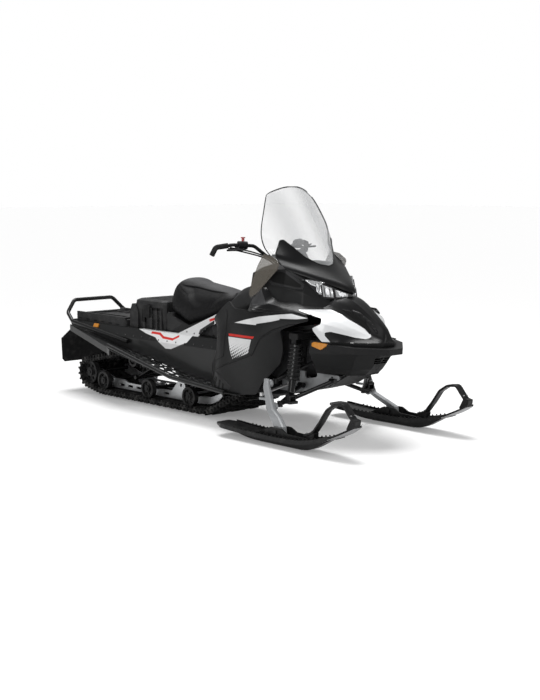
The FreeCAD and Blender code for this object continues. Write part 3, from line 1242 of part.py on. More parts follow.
def ski():
    """The right moulded ski: rockered deck, keel, upturned edges, and the two ribs that hold the leg."""
    w = SKI_HALF_WIDTH
    deck = along_ski(curved_band(SKI_LINE, 0.0, SKI_DECK), -w, w)
    plan = [(SKI_TAIL_X, -0.62 * w), (SKI_TAIL_X + 70, -w), (1330.0, -w), (SKI_TIP_X - 90, -0.78 * w), (SKI_TIP_X, -0.40 * w)]
    plan = plan + [(x, -y) for x, y in reversed(plan)]
    radii = [20.0, 60.0, 200.0, 80.0, 26.0]
    blank = slab("z", [(x, y - SKI_HALF_STANCE) for x, y in plan], -50.0, 400.0, radii + radii[::-1])
    edge_face = curved_band(SKI_LINE, 4.0, SKI_DECK + 9.0)
    edges = [along_ski(edge_face, -w, -w + 10), along_ski(edge_face, w - 10, w)]
    xs = [570.0, 640.0, 720.0, 800.0, 900.0, 1000.0, 1100.0, 1170.0, 1260.0, 1350.0, 1440.0]
    curve = Part.BSplineCurve()
    curve.interpolate([V(x, 0, ski_keel_line(x)) for x in xs])
    roof = [V(xs[-1], 0, 118.0), V(1250.0, 0, 66.0), V(1000.0, 0, 52.0), V(700.0, 0, 54.0), V(xs[0], 0, 62.0)]
    rest = [curve.value(curve.LastParameter)] + roof + [curve.value(curve.FirstParameter)]
    sides = [Part.LineSegment(a, b).toShape() for a, b in zip(rest, rest[1:])]
    keel_face = Part.Face(Part.Wire([curve.toShape()] + sides))
    keel = along_ski(keel_face, -SKI_KEEL_HALF, SKI_KEEL_HALF)
    rib_face = slab("y", [(800.0, 50.0), (880.0, 86.0), (940.0, 112.0), (1030.0, 112.0), (1080.0, 88.0), (1230.0, 84.0), (1258.0, 66.0), (1100.0, 50.0)], 0.0, SKI_RIB, 14.0)
    ribs = []
    for low in (-SKI_RIB_HALF_GAP - SKI_RIB, SKI_RIB_HALF_GAP):
        rib = rib_face.copy()
        rib.translate(V(0, low - SKI_HALF_STANCE, 0))
        ribs.append(rib)
    body = union([deck] + edges + [keel]).common(blank).fuse(union(ribs))
    body = body.cut(rod((811.8, -SKI_HALF_STANCE, SKI_RUNNER_R), (1160.2, -SKI_HALF_STANCE, SKI_RUNNER_R), SKI_RUNNER_R + 0.15))
    return body.cut(disc((SKI_PIVOT_X, SKI_PIVOT_Z), SKI_PIVOT_R, -SKI_HALF_STANCE - 80, -SKI_HALF_STANCE + 80))


def ski_bolt():
    """The pivot bolt through the ski ribs and the leg."""
    reach = SKI_RIB_HALF_GAP + SKI_RIB
    head = 8.0
    shaft = disc((SKI_PIVOT_X, SKI_PIVOT_Z), SKI_PIVOT_R - SEAT_GAP, -SKI_HALF_STANCE - reach - head, -SKI_HALF_STANCE + reach + head)
    heads = [disc((SKI_PIVOT_X, SKI_PIVOT_Z), 11.0, -SKI_HALF_STANCE - reach - head, -SKI_HALF_STANCE - reach - SEAT_GAP),
             disc((SKI_PIVOT_X, SKI_PIVOT_Z), 11.0, -SKI_HALF_STANCE + reach + SEAT_GAP, -SKI_HALF_STANCE + reach + head)]
    return union([shaft] + heads)


def ski_runner():
    """The steel wear bar let in under the keel."""
    y, r = -SKI_HALF_STANCE, SKI_RUNNER_R
    return rod((812.0, y, r), (1160.0, y, r), r)


def ski_loop():
    """The ski's hand loop: a strap that rises behind the tip and comes down on it."""
    line = [(1196.0, 92.0), (1262.0, 118.0), (1318.0, 186.0), (1372.0, 262.0), (1432.0, 300.0), (1498.0, 308.0), (1544.0, 254.0), (1580.0, 214.0)]
    outer = [V(x, 0, z) for x, z in line]
    path = Part.Wire(turn(outer, [0, 60.0, 80.0, 60.0, 60.0, 30.0, 60.0, 0], False))
    start = outer[1] - outer[0]
    up = V(-start.z, 0, start.x).normalize()
    side = V(0, LOOP_HALF_WIDTH, 0)
    half = up * (0.5 * LOOP_THICK)
    corners = [outer[0] + half + side, outer[0] + half - side, outer[0] - half - side, outer[0] - half + side]
    profile = Part.Wire(turn(corners, 5.0, True))
    strap = path.makePipeShell([profile], True, True)
    strap.translate(V(0, -SKI_HALF_STANCE, 0))
    foot = slab("y", [(1186.0, 70.0), (1268.0, 72.0), (1276.0, 120.0), (1200.0, 106.0)], -SKI_HALF_STANCE - 20, -SKI_HALF_STANCE + 20, 6.0)
    toe = slab("y", [(1520.0, 165.0), (1592.0, 200.0), (1598.0, 232.0), (1560.0, 240.0)], -SKI_HALF_STANCE - 22, -SKI_HALF_STANCE + 22, 6.0)
    return union([strap, foot, toe]).cut(ski())


def bar_path():
    """The handlebar's line, from the right hook grip over the clamp to the left."""
    right = [(276.0, -404.0, 1072.0), (300.0, -392.0, 1122.0), (352.0, -300.0, 1136.0), (404.0, -170.0, 1128.0), (436.0, -92.0, 1062.0), (438.0, -30.0, 1048.0)]
    return right + [(x, -y, z) for x, y, z in reversed(right)]


def bar_tube(grow):
    """The bent handlebar tube, or the same a little thicker."""
    return tube(bar_path(), BAR_R + grow, [0, 28.0, 60.0, 60.0, 50.0, 20.0, 20.0, 50.0, 60.0, 60.0, 28.0, 0])


def grips():
    """The hooked hand grips."""
    right = bar_path()[:3]
    far = V(*right[2])
    near = V(*right[1])
    end = near + (far - near) * 0.72
    grip = tube([right[0], right[1], (end.x, end.y, end.z)], GRIP_R, 26.0)
    grip = grip.cut(bar_tube(SEAT_GAP))
    return [grip, mirrored(grip)]


STEER_TOP = (438.0, 0.0, 1048.0)
STEER_AXIS = (-0.42, 0.0, 0.908)
STEER_FLOOR_Z = 905.0
COLUMN_R = 15.0


def along_column(start, end, radius):
    """A cylinder on the steering axis, between two distances below the bar."""
    top, axis = V(*STEER_TOP), V(*STEER_AXIS).normalize()
    return Part.makeCylinder(radius, end - start, top - axis * end, axis)


def steering_riser():
    """The bar clamp and the top of the steering column."""
    x, _, z = STEER_TOP
    clamp = block(x - 22, x + 22, -28.0, 28.0, z - 20, z + 22)
    return clamp.fuse(along_column(0.0, 118.0, COLUMN_R)).cut(bar_tube(SEAT_GAP))


def steering_post():
    """The fixed post that the column turns in."""
    post = along_column(74.0, 200.0, COLUMN_R + 12)
    post = post.common(block(300.0, 700.0, -100.0, 100.0, STEER_FLOOR_Z + SEAT_GAP, 1100.0))
    post = post.cut(console().translated(V(0, 0, SEAT_GAP)))
    return post.cut(along_column(50.0, 124.0, COLUMN_R + SEAT_GAP))


def bar_controls():
    """Brake lever and switches on the left, thumb throttle and stop switch on the right."""
    made = []
    for side in (-1, 1):
        a = V(376.0, side * 240.0, 1133.0)
        along = V(404.0 - 352.0, side * (170.0 - 300.0), 1128.0 - 1136.0).normalize()
        body = Part.makeCylinder(25.0, 58.0, a - along * 29, along)
        pod = block(a.x - 40, a.x + 8, min(a.y, a.y + side * 8) - 20, max(a.y, a.y + side * 8) + 20, a.z - 34, a.z - 8)
        lever = tube([(a.x + 8, a.y, a.z - 22), (a.x + 44, a.y + side * 26, a.z - 26), (a.x + 16, a.y + side * 140, a.z - 26)], 6.0, 14.0)
        made.append(union([body, pod, lever]).cut(bar_tube(SEAT_GAP)))
    return made


def stop_switch():
    """The red stop switch on the right control."""
    stem = Part.makeCylinder(9.0, 22.0, V(372.0, -232.0, 1158.3), V(0, 0, 1))
    return stem.fuse(Part.makeCylinder(14.0, 7.0, V(372.0, -232.0, 1176.0), V(0, 0, 1)))


def side_markers():
    """The amber markers on the tunnel's chamfers and on the sides of the nose."""
    run = V(0, TUNNEL_TOP_HALF - TUNNEL_HALF, TUNNEL_TOP_Z - TUNNEL_SHOULDER_Z)
    out = V(0, run.z, -run.y).normalize()
    low = V(0, TUNNEL_HALF, TUNNEL_SHOULDER_Z) + run * 0.56
    high = V(0, TUNNEL_HALF, TUNNEL_SHOULDER_Z) + run * 0.94
    corners = [low + out * SEAT_GAP, low + out * 7, high + out * 7, high + out * SEAT_GAP]
    marker = slab("x", [(c.y, c.z) for c in corners], -1214.0, -1160.0)
    outline = [(1004.0, 577.0), (1036.0, 594.0), (BUMPER_REAR_X - 4, 585.0), (1076.0, 550.0)]
    nose = slab("y", outline, -330.0, -180.0, [3.0, 6.0, 3.0, 3.0])
    nose = nose.common(fascia_block(-8.0)).cut(fascia_block(-SEAT_GAP))
    return [marker, mirrored(marker), nose, mirrored(nose)]


def write(name, shapes):
    """Writes one node, made of one or more solids."""
    shapes = shapes if isinstance(shapes, (list, tuple)) else [shapes]
    solids = [s for shape in shapes for s in shape.Solids]
    body = solids[0] if len(solids) == 1 else Part.makeCompound(solids)
    faults = [s for s in solids if not s.isValid() or s.Volume <= 0]
    print(f"{name}: {len(solids)} solids, {body.Volume / 1e6:.3f} litres, faults {len(faults)}")
    body.exportStep(os.path.join("parts", name + ".step"))


def main():
    """Builds every node in turn."""
    os.makedirs("parts", exist_ok=True)
    write("track", track())
    write("track_wheels", wheels())
    write("track_axles", [drive_sprockets()] + wheel_axles())
    write("slide_rails", slide_rails())
    write("rail_sliders", rail_sliders())
    write("skid_arms", skid_arms())
    write("skid_shocks", skid_shocks())
    write("tunnel", tunnel())
    write("running_boards", pair(running_board()))
    write("rear_bumper", rear_bumper())
    write("snow_flap", snow_flap())
    write("tail_bracket", tail_bracket())
    write("tail_lamp", tail_lamp())
    write("tow_hitch", tow_hitch())
    write("cargo_rack", cargo_rack())
    write("cargo_box", cargo_box())
    write("cargo_lid", cargo_lid())
    write("box_latches", box_latches())
    write("seat", seat())
    write("seat_base", seat_base())
    write("console", console())
    write("fuel_cap", fuel_cap())
    write("side_braces", side_braces())
    write("side_panels", pair(side_panel()))
    dark, right, left = hood_parts()
    lamp = lamp_body(LAMP_DEPTH, 0.0)
    pocket = block(CONSOLE_FRONT_X - 10, CONSOLE_FRONT_X + 76, -58.0, 58.0, STEER_FLOOR_Z, 1200.0)
    pod = pod_block().cut(pocket)
    write("headlamp", lamp)
    room = pod.fuse(lamp)
    write("hood", dark.cut(room))
    write("hood_panels", [right.cut(room), left.cut(room)])
    write("headlamp_pod", pod.cut(lamp))
    glass, cowl = windshield_parts()
    write("windshield", glass)
    write("windshield_cowl", cowl)
    write("wind_deflectors", deflectors())
    write("gauge", gauge())
    write("nose_fascia", nose_fascia())
    write("nose_grille", nose_grille())
    write("front_bumper", front_bumper())
    write("belly_pan", [belly_pan(), drive_guard()])
    write("front_frame", front_frame())
    write("engine", engine())
    write("lower_arms", pair(lower_arm()))
    write("upper_arms", pair(upper_arm()))
    write("front_shocks", pair(front_shock()))
    leg, runner, loop = ski_leg(), ski_runner(), ski_loop()
    blade = [ski(), ski_bolt()]
    for side, place in (("right", lambda s: s), ("left", mirrored)):
        write("ski_leg_" + side, place(leg))
        write("ski_" + side, [place(piece) for piece in blade])
        write("ski_runner_" + side, place(runner))
        write("ski_loop_" + side, place(loop))
    write("tie_rods", tie_rods())
    write("handlebar", bar_tube(0.0))
    write("grips", grips())
    write("steering_riser", steering_riser())
    write("steering_post", steering_post())
    write("bar_controls", bar_controls())
    write("stop_switch", stop_switch())
    write("side_markers", side_markers())


main()
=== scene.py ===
"""Dresses the packed snowmobile: finishes, saddle, lamp, trim, fixings, studio and camera."""
import json
import logging
import math
from dataclasses import dataclass, field
from enum import Enum
from functools import cached_property, reduce
from typing import Optional, Sequence, Union

import bmesh
import bpy
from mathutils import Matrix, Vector
from mathutils.bvhtree import BVHTree
from mathutils.geometry import delaunay_2d_cdt


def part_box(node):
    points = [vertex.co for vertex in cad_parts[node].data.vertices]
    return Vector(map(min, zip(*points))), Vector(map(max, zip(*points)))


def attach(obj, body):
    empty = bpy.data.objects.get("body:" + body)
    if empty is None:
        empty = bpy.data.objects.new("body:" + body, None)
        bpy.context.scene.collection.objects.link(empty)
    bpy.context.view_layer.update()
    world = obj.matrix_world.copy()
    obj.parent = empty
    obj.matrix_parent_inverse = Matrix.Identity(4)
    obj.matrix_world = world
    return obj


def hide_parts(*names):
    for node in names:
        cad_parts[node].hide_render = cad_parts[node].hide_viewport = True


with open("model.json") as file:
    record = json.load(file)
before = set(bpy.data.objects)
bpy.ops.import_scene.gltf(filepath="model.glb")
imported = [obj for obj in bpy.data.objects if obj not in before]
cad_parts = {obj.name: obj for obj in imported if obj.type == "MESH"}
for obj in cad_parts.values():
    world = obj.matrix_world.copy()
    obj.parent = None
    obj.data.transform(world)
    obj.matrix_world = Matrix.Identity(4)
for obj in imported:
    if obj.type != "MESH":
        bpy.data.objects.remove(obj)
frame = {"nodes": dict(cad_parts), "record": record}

LOG = logging.getLogger("snowmobile")
Point = tuple[float, float, float]
Flat = tuple[float, float]
Colour = tuple[float, float, float]
RIGHT, LEFT = -1.0, 1.0
SIDES = ((RIGHT, "right"), (LEFT, "left"))
UP: Point = (0.0, 0.0, 1.0)
DOWN: Point = (0.0, 0.0, -1.0)
EVEN: Point = (1.0, 1.0, 1.0)
SKI_MIDDLE = 0.49
ABOVE_SKIS = 0.6
BESIDE = 1.0
WELD = 2e-5
CREASE = 32.0


def round_pairs(corners: Sequence[tuple[float, ...]]) -> list[tuple[tuple[float, ...], tuple[float, ...]]]:
    """Each corner of a closed outline with the next one."""
    return list(zip(corners, [*corners[1:], corners[0]]))


class Slot(Enum):
    """The record's material slots."""

    TRACK = "track_rubber"
    WHEEL = "wheel_plastic"
    BLACK = "black_plastic"
    BODY = "body_plastic"
    GLOSS = "body_gloss"
    RACK = "rack_plastic"
    SKI = "ski_plastic"
    STEEL = "bright_steel"
    RAIL = "rail_aluminium"
    CAST = "cast_silver"
    COATED = "black_steel"
    TUNNEL = "tunnel_paint"
    FLAP = "flap_rubber"
    RED = "red_lens"
    AMBER = "amber_lens"
    VINYL = "seat_vinyl"
    WHITE = "white_paint"
    SHELL = "white_gloss"
    LAMP = "lamp_lens"
    CLEAR = "clear_sheet"
    SMOKE = "smoked_sheet"
    ENGINE = "engine_metal"


class Wire:
    """A shader socket that takes part in Python expressions."""

    def __init__(self, board: "Board", socket: bpy.types.NodeSocket) -> None:
        """Keeps the socket and the board that it is on.

        Args:
            board: The material's node board.
            socket: The output socket.
        """
        self.board = board
        self.socket = socket

    def _math(self, operation: str, other: "Number", swap: bool = False) -> "Wire":
        """Adds one Math node.

        Args:
            operation: The node's operation.
            other: The second value.
            swap: Whether the second value comes first.

        Returns:
            The result.
        """
        pair = [other, self] if swap else [self, other]
        return self.board.node("ShaderNodeMath", {"operation": operation}, {0: pair[0], 1: pair[1]})

    def __add__(self, other: "Number") -> "Wire":
        """The sum."""
        return self._math("ADD", other)

    __radd__ = __add__

    def __sub__(self, other: "Number") -> "Wire":
        """The difference."""
        return self._math("SUBTRACT", other)

    def __rsub__(self, other: "Number") -> "Wire":
        """The difference, the other way round."""
        return self._math("SUBTRACT", other, True)

    def __mul__(self, other: "Number") -> "Wire":
        """The product."""
        return self._math("MULTIPLY", other)

    __rmul__ = __mul__

    def __truediv__(self, other: "Number") -> "Wire":
        """The quotient."""
        return self._math("DIVIDE", other)

    def __rtruediv__(self, other: "Number") -> "Wire":
        """The quotient, the other way round."""
        return self._math("DIVIDE", other, True)

    def least(self, other: "Number") -> "Wire":
        """The smaller of two values."""
        return self._math("MINIMUM", other)

    def most(self, other: "Number") -> "Wire":
        """The larger of two values."""
        return self._math("MAXIMUM", other)

    def size(self) -> "Wire":
        """The value without its sign."""
        return self._math("ABSOLUTE", 0.0)

    def held(self) -> "Wire":
        """The value kept between 0 and 1."""
        return self.board.node("ShaderNodeClamp", {}, {"Value": self})

    def over(self, limit: float, soft: float) -> "Wire":
        """A soft step.

        Args:
            limit: Where the step is.
            soft: How wide it is.

        Returns:
            0 below the limit, 1 above it.
        """
        return ((self - limit) * (1.0 / soft) + 0.5).held()

    def along(self, direction: Point) -> "Wire":
        """How far a place lies along a direction."""
        return self.board.node("ShaderNodeVectorMath", {"operation": "DOT_PRODUCT"}, {0: self, 1: direction},
                               "Value")


Number = Union[float, Wire]
Value = Union[float, Sequence[float], Wire]


def union(masks: Sequence[Wire]) -> Wire:
    """The largest of several masks."""
    return reduce(Wire.most, masks)


class Board:
    """The node board of one material, or of the world."""

    def __init__(self, name: str, world: bool = False) -> None:
        """Makes the material or the world and empties its board.

        Args:
            name: Its name.
            world: Whether it is the world.
        """
        self.holder = bpy.data.worlds.new(name) if world else bpy.data.materials.new(name)
        self.holder.use_nodes = True
        self.tree = self.holder.node_tree
        self.tree.nodes.clear()

    @cached_property
    def place(self) -> Wire:
        """The object's own coordinates."""
        return self.node("ShaderNodeTexCoord", {}, {}, "Object")

    def node(self, kind: str, settings: dict, inputs: dict, output: Union[int, str] = 0) -> Wire:
        """Adds any node.

        Args:
            kind: The node's type.
            settings: Its own settings, or a ramp's stops under "stops".
            inputs: Values or wires by socket name or number.
            output: The output wanted.

        Returns:
            That output, or an empty wire for a node without outputs.
        """
        made = self.tree.nodes.new(kind)
        for name, value in settings.items():
            if name == "stops":
                ramp = made.color_ramp
                while len(ramp.elements) < len(value):
                    ramp.elements.new(0.5)
                for element, (position, colour) in zip(ramp.elements, value):
                    element.position = position
                    element.color = (*colour, 1.0)
            else:
                setattr(made, name, value)
        for name, value in inputs.items():
            socket = made.inputs[name]
            if isinstance(value, Wire):
                self.tree.links.new(value.socket, socket)
            elif isinstance(value, (tuple, list)) and len(value) == 3 and socket.type == "RGBA":
                socket.default_value = (*value, 1.0)
            else:
                socket.default_value = value
        return Wire(self, made.outputs[output] if len(made.outputs) else None)

    def noise(self, scale: float, detail: float = 2.0, stretch: Point = EVEN) -> Wire:
        """Noise over the object's own space.

        Args:
            scale: Its fineness per metre.
            detail: Its octaves.
            stretch: A scale for each axis.

        Returns:
            Values round 0.5.
        """
        where = self.place
        if stretch != EVEN:
            where = self.node("ShaderNodeMapping", {}, {"Vector": where, "Scale": stretch})
        return self.node("ShaderNodeTexNoise", {}, {"Vector": where, "Scale": scale, "Detail": detail})

    def mix(self, share: Number, low: Value, high: Value) -> Wire:
        """A colour between two colours.

        Args:
            share: 0 for the first colour, 1 for the second.
            low: The first colour.
            high: The second colour.

        Returns:
            The colour.
        """
        return self.node("ShaderNodeMix", {"data_type": "RGBA"}, {0: share, 6: low, 7: high}, 2)

    def inside(self, corners: Sequence[Flat], soft: float = 0.0012) -> Wire:
        """A mask for a convex outline seen from the side.

        Args:
            corners: X and Z of the corners, in order.
            soft: The width of the soft edge.

        Returns:
            1 inside the outline.
        """
        area = sum(x0 * z1 - x1 * z0 for (x0, z0), (x1, z1) in round_pairs(corners))
        turn = math.copysign(1.0, area)
        rises = []
        for (x0, z0), (x1, z1) in round_pairs(corners):
            length = math.hypot(x1 - x0, z1 - z0)
            across = (-turn * (z1 - z0) / length, 0.0, turn * (x1 - x0) / length)
            rises.append(self.place.along(across) - (across[0] * x0 + across[2] * z0))
        return (reduce(Wire.least, rises) * (1.0 / soft) + 0.5).held()

    def stroke(self, line: Sequence[Flat], width: float, soft: float = 0.0015) -> Wire:
        """A mask for a band along a line seen from the side.

        Args:
            line: X and Z of its corners.
            width: The band's width.
            soft: The width of the soft edge.

        Returns:
            1 on the band.
        """
        parts = []
        for (x0, z0), (x1, z1) in zip(line, line[1:]):
            length = math.hypot(x1 - x0, z1 - z0)
            run = ((x1 - x0) / length, 0.0, (z1 - z0) / length)
            off = (-run[2], 0.0, run[0])
            side = (self.place.along(off) - (off[0] * x0 + off[2] * z0)).size() - 0.5 * width
            middle = run[0] * 0.5 * (x0 + x1) + run[2] * 0.5 * (z0 + z1)
            end = (self.place.along(run) - middle).size() - 0.5 * (length + width)
            parts.append((0.5 - side.most(end) * (1.0 / soft)).held())
        return union(parts)

    def bump(self, height: Wire, distance: float, strength: float = 1.0) -> Wire:
        """A bump from a height.

        Args:
            height: The height, 0 to 1.
            distance: What 1 means, in metres.
            strength: How much of it shows.

        Returns:
            The bent normal.
        """
        return self.node("ShaderNodeBump", {}, {"Strength": strength, "Distance": distance, "Height": height})

    def surface(self, inputs: dict) -> Wire:
        """The main shader."""
        return self.node("ShaderNodeBsdfPrincipled", {}, inputs)

    def seen_by(self, *rays: str) -> Wire:
        """1 for the kinds of ray that are named."""
        return union([self.node("ShaderNodeLightPath", {}, {}, f"Is {ray} Ray") for ray in rays])

    def close(self, shader: Wire, kind: str = "ShaderNodeOutputMaterial") -> bpy.types.ID:
        """Joins the shader to the output.

        Args:
            shader: The finished shader.
            kind: The output node's type.

        Returns:
            The material or the world.
        """
        self.node(kind, {}, {"Surface": shader})
        return self.holder


@dataclass(frozen=True)
class Plastic:
    """Moulded plastic or paint: a colour with a fine grain, faint blotches and dulled patches."""

    colour: Colour
    rough: float
    grain: float = 900.0
    grain_depth: float = 0.00025
    blotch: float = 0.16
    coat: float = 0.0
    metal: float = 0.0
    dust: float = 0.0
    shine: float = 0.2

    def shade(self, board: Board, colour: Optional[Value] = None, grooves: Optional[Wire] = None) -> Wire:
        """Builds the shader.

        Args:
            board: The material's board.
            colour: A painted pattern instead of the plain colour.
            grooves: A mask of grooves pressed into the surface.

        Returns:
            The shader.
        """
        patches = board.noise(7.0, 4.0)
        fine = board.noise(self.grain, 1.0)
        base = colour if colour is not None else self.colour
        dark = board.mix(patches * self.blotch * 2.0, base, (0.0, 0.0, 0.0))
        if self.dust:
            dark = board.mix(board.noise(23.0, 5.0).over(0.62, 0.3) * self.dust, dark, (0.35, 0.34, 0.33))
        height = fine * 0.35 if grooves is None else fine * 0.12 - grooves
        depth = self.grain_depth if grooves is None else 0.003
        return board.surface({
            "Base Color": dark,
            "Roughness": (patches * 0.18 + (self.rough - 0.09)).held(),
            "Metallic": self.metal,
            "Coat Weight": self.coat,
            "Coat Roughness": 0.12,
            "Specular IOR Level": self.shine,
            "Normal": board.bump(height, depth, 0.6),
        })

    def make(self, name: str) -> bpy.types.Material:
        """The plain material."""
        board = Board(name)
        return board.close(self.shade(board))


@dataclass(frozen=True)
class TwoTone:
    """A plastic finish that changes colour past a line across the piece."""

    base: Plastic
    other: Colour
    direction: Point
    limit: float
    soft: float
    underside_only: bool = False

    def make(self, name: str) -> bpy.types.Material:
        """Makes the material.

        Args:
            name: Its name.

        Returns:
            The material.
        """
        board = Board(name)
        share = board.place.along(self.direction).over(self.limit, self.soft)
        if self.underside_only:
            normal = board.node("ShaderNodeNewGeometry", {}, {}, "Normal")
            share = share * normal.along(DOWN).over(0.35, 0.1)
        return board.close(self.base.shade(board, board.mix(share, self.base.colour, self.other)))


@dataclass(frozen=True)
class Metal:
    """Bare metal with long brushed or cast marks."""

    colour: Colour
    rough: float
    stretch: Point = EVEN
    scale: float = 160.0
    depth: float = 0.0003

    def make(self, name: str) -> bpy.types.Material:
        """Makes the material.

        Args:
            name: Its name.

        Returns:
            The material.
        """
        board = Board(name)
        marks = board.noise(self.scale, 3.0, self.stretch)
        stains = board.noise(11.0, 4.0)
        colour = board.mix(stains.over(0.5, 0.5) * 0.35, self.colour, tuple(0.55 * c for c in self.colour))
        return board.close(board.surface({
            "Base Color": colour,
            "Metallic": 0.85,
            "Roughness": (marks * 0.25 + (self.rough - 0.12)).held(),
            "Normal": board.bump(marks, self.depth, 0.5),
        }))


@dataclass(frozen=True)
class Sheet:
    """Clear or smoked screen plastic."""

    colour: Colour
    cover: float
    # How strongly the painted reflection streaks cover the sheet.
    painted_reflection_streak: float

    def make(self, name: str) -> bpy.types.Material:
        """Makes the material; its cover rises towards grazing angles and along soft bands, as painted
        reflection and painted reflection streaks.

        Args:
            name: Its name.

        Returns:
            The material.
        """
        board = Board(name)
        # Painted reflection streaks: soft bands where the sheet is more covered.
        painted_reflection_bands = board.node("ShaderNodeTexWave", {"wave_type": "BANDS", "bands_direction": "Y"}, {
            "Vector": board.place, "Scale": 1.3, "Distortion": 1.2, "Detail": 1.0, "Phase Offset": 0.8})
        # Painted reflection: the cover rises towards grazing angles.
        rim = board.node("ShaderNodeLayerWeight", {}, {"Blend": 0.32}, "Facing")
        cover = (rim * 0.42 + painted_reflection_bands * self.painted_reflection_streak + self.cover).held()
        shader = board.surface({
            "Base Color": self.colour,
            "Roughness": 0.06,
            "Coat Weight": 0.6,
            "Coat Roughness": 0.03,
            "Alpha": cover,
        })
        return board.close(shader)


@dataclass(frozen=True)
class Vinyl:
    """Seat covering with a leather grain and a painted sheen on its top."""

    colour: Colour
    # The lighter colour of the painted sheen, laid where the cover faces up.
    top: Colour

    def make(self, name: str) -> bpy.types.Material:
        """Makes the material, with a painted sheen: lighter where the cover faces up.

        Args:
            name: Its name.

        Returns:
            The material.
        """
        board = Board(name)
        cells = board.node("ShaderNodeTexVoronoi", {"feature": "DISTANCE_TO_EDGE"},
                           {"Vector": board.place, "Scale": 420.0})
        wrinkle = board.noise(38.0, 5.0)
        # Painted sheen: faces that point up take the lighter top colour.
        lift = board.node("ShaderNodeNewGeometry", {}, {}, "Normal").along(UP).over(0.90, 0.12)
        # This noise varies the roughness, and it breaks the painted sheen into patches.
        worn = board.noise(9.0, 3.0)
        colour = board.mix(lift * (worn * 0.5 + 0.5), self.colour, self.top)
        return board.close(board.surface({
            "Base Color": colour,
            "Roughness": (worn * 0.2 + 0.46).held(),
            "Specular IOR Level": 0.15,
            "Coat Weight": 0.02,
            "Coat Roughness": 0.35,
            "Normal": board.bump(cells.over(0.0, 0.3) * 0.7 + wrinkle * 0.6, 0.0009, 0.7),
        }))


@dataclass(frozen=True)
class Lens:
    """A coloured lens with moulded ribs behind its face."""

    colour: Colour
    glow: float
    rib: Point
    pitch: float
    coat: float = 1.0

    def make(self, name: str) -> bpy.types.Material:
        """Makes the material.

        Args:
            name: Its name.

        Returns:
            The material.
        """
        board = Board(name)
        wave = board.place.along(self.rib) * (1.0 / self.pitch)
        saw = (wave - board.node("ShaderNodeMath", {"operation": "FLOOR"}, {0: wave})).size()
        ridge = (saw - 0.5).size() * 2.0
        colour = board.mix(ridge, tuple(0.55 * c for c in self.colour), self.colour)
        return board.close(board.surface({
            "Base Color": colour,
            "Roughness": 0.16,
            "Coat Weight": self.coat,
            "Coat Roughness": 0.03,
            "Emission Color": self.colour,
            "Emission Strength": self.glow,
            "Normal": board.bump(ridge, 0.0012, 0.6),
        }))


WHITE_INK: Colour = (0.94, 0.945, 0.95)
RED_INK: Colour = (0.78, 0.040, 0.030)
BODY_GREY: Colour = (0.012, 0.0123, 0.0127)
TUNNEL_GREY: Colour = (0.014, 0.0144, 0.0148)
# The near-black painted shade laid into the side panels' pressed lines and slots.
GROOVE_SHADE: Colour = (0.001, 0.001, 0.001)
SKI_PLASTIC = Plastic((0.009, 0.009, 0.0095), 0.4, 600.0, 0.0003, 0.1, dust=0.06)
PRESSED_LINES: tuple[tuple[Flat, ...], ...] = (
    ((0.27, 0.357), (0.384, 0.407), (0.538, 0.461), (0.616, 0.490), (0.679, 0.591), (0.768, 0.645),
     (0.901, 0.688),
     (0.98, 0.695)),
    ((0.322, 0.739), (0.350, 0.70), (0.367, 0.624), (0.361, 0.456), (0.20, 0.385)))


@dataclass(frozen=True)
class SidePanelDecals:
    """The bright swoosh, shield, dot fade, red bar and pressed lines on the side panels, with painted shade
    in the lines and slots.
    """

    swoosh: tuple[tuple[Flat, ...], ...]
    shield: tuple[Flat, ...]
    bar: tuple[Flat, ...]
    creases: tuple[tuple[Flat, ...], ...]
    slots: tuple[tuple[Flat, ...], ...]
    fade_top: float = 0.555
    fade_low: float = 0.44
    dot_pitch: float = 0.019
    dot_slope: float = 0.5
    dot_most: float = 0.56
    groove_width: float = 0.008
    slot_depth: float = 1.3

    def _dots(self, board: Board) -> Wire:
        """A mask of round dots that grow towards the shield's foot.

        Args:
            board: The material's board.

        Returns:
            1 on a dot.
        """
        halves = []
        for direction in ((1.0, 0.0, self.dot_slope), (-self.dot_slope, 0.0, 1.0)):
            run = board.place.along(direction) * (1.0 / self.dot_pitch)
            halves.append(run - board.node("ShaderNodeMath", {"operation": "FLOOR"}, {0: run}) - 0.5)
        reach = board.node("ShaderNodeMath", {"operation": "SQRT"},
                           {0: halves[0] * halves[0] + halves[1] * halves[1]})
        fall = ((self.fade_top - board.place.along(UP)) * (1.0 / (self.fade_top - self.fade_low))).held()
        return (fall * self.dot_most - reach).over(0.0, 0.04)

    def make(self, name: str) -> bpy.types.Material:
        """Makes the material.

        Args:
            name: Its name.

        Returns:
            The material.
        """
        board = Board(name)
        shield = board.inside(self.shield) * (1.0 - self._dots(board))
        colour = board.mix(union([board.inside(part) for part in self.swoosh] + [shield]), BODY_GREY,
                           WHITE_INK)
        colour = board.mix(board.inside(self.bar), colour, RED_INK)
        groove = union([board.stroke(line, self.groove_width, 0.004) for line in self.creases]
                       + [board.stroke(line, self.groove_width, 0.002) * self.slot_depth
                          for line in self.slots])
        # Painted shade: the pressed lines and slots are darkened towards black.
        colour = board.mix(groove.held() * 0.85, colour, GROOVE_SHADE)
        return board.close(Plastic(BODY_GREY, 0.42).shade(board, colour, groove))


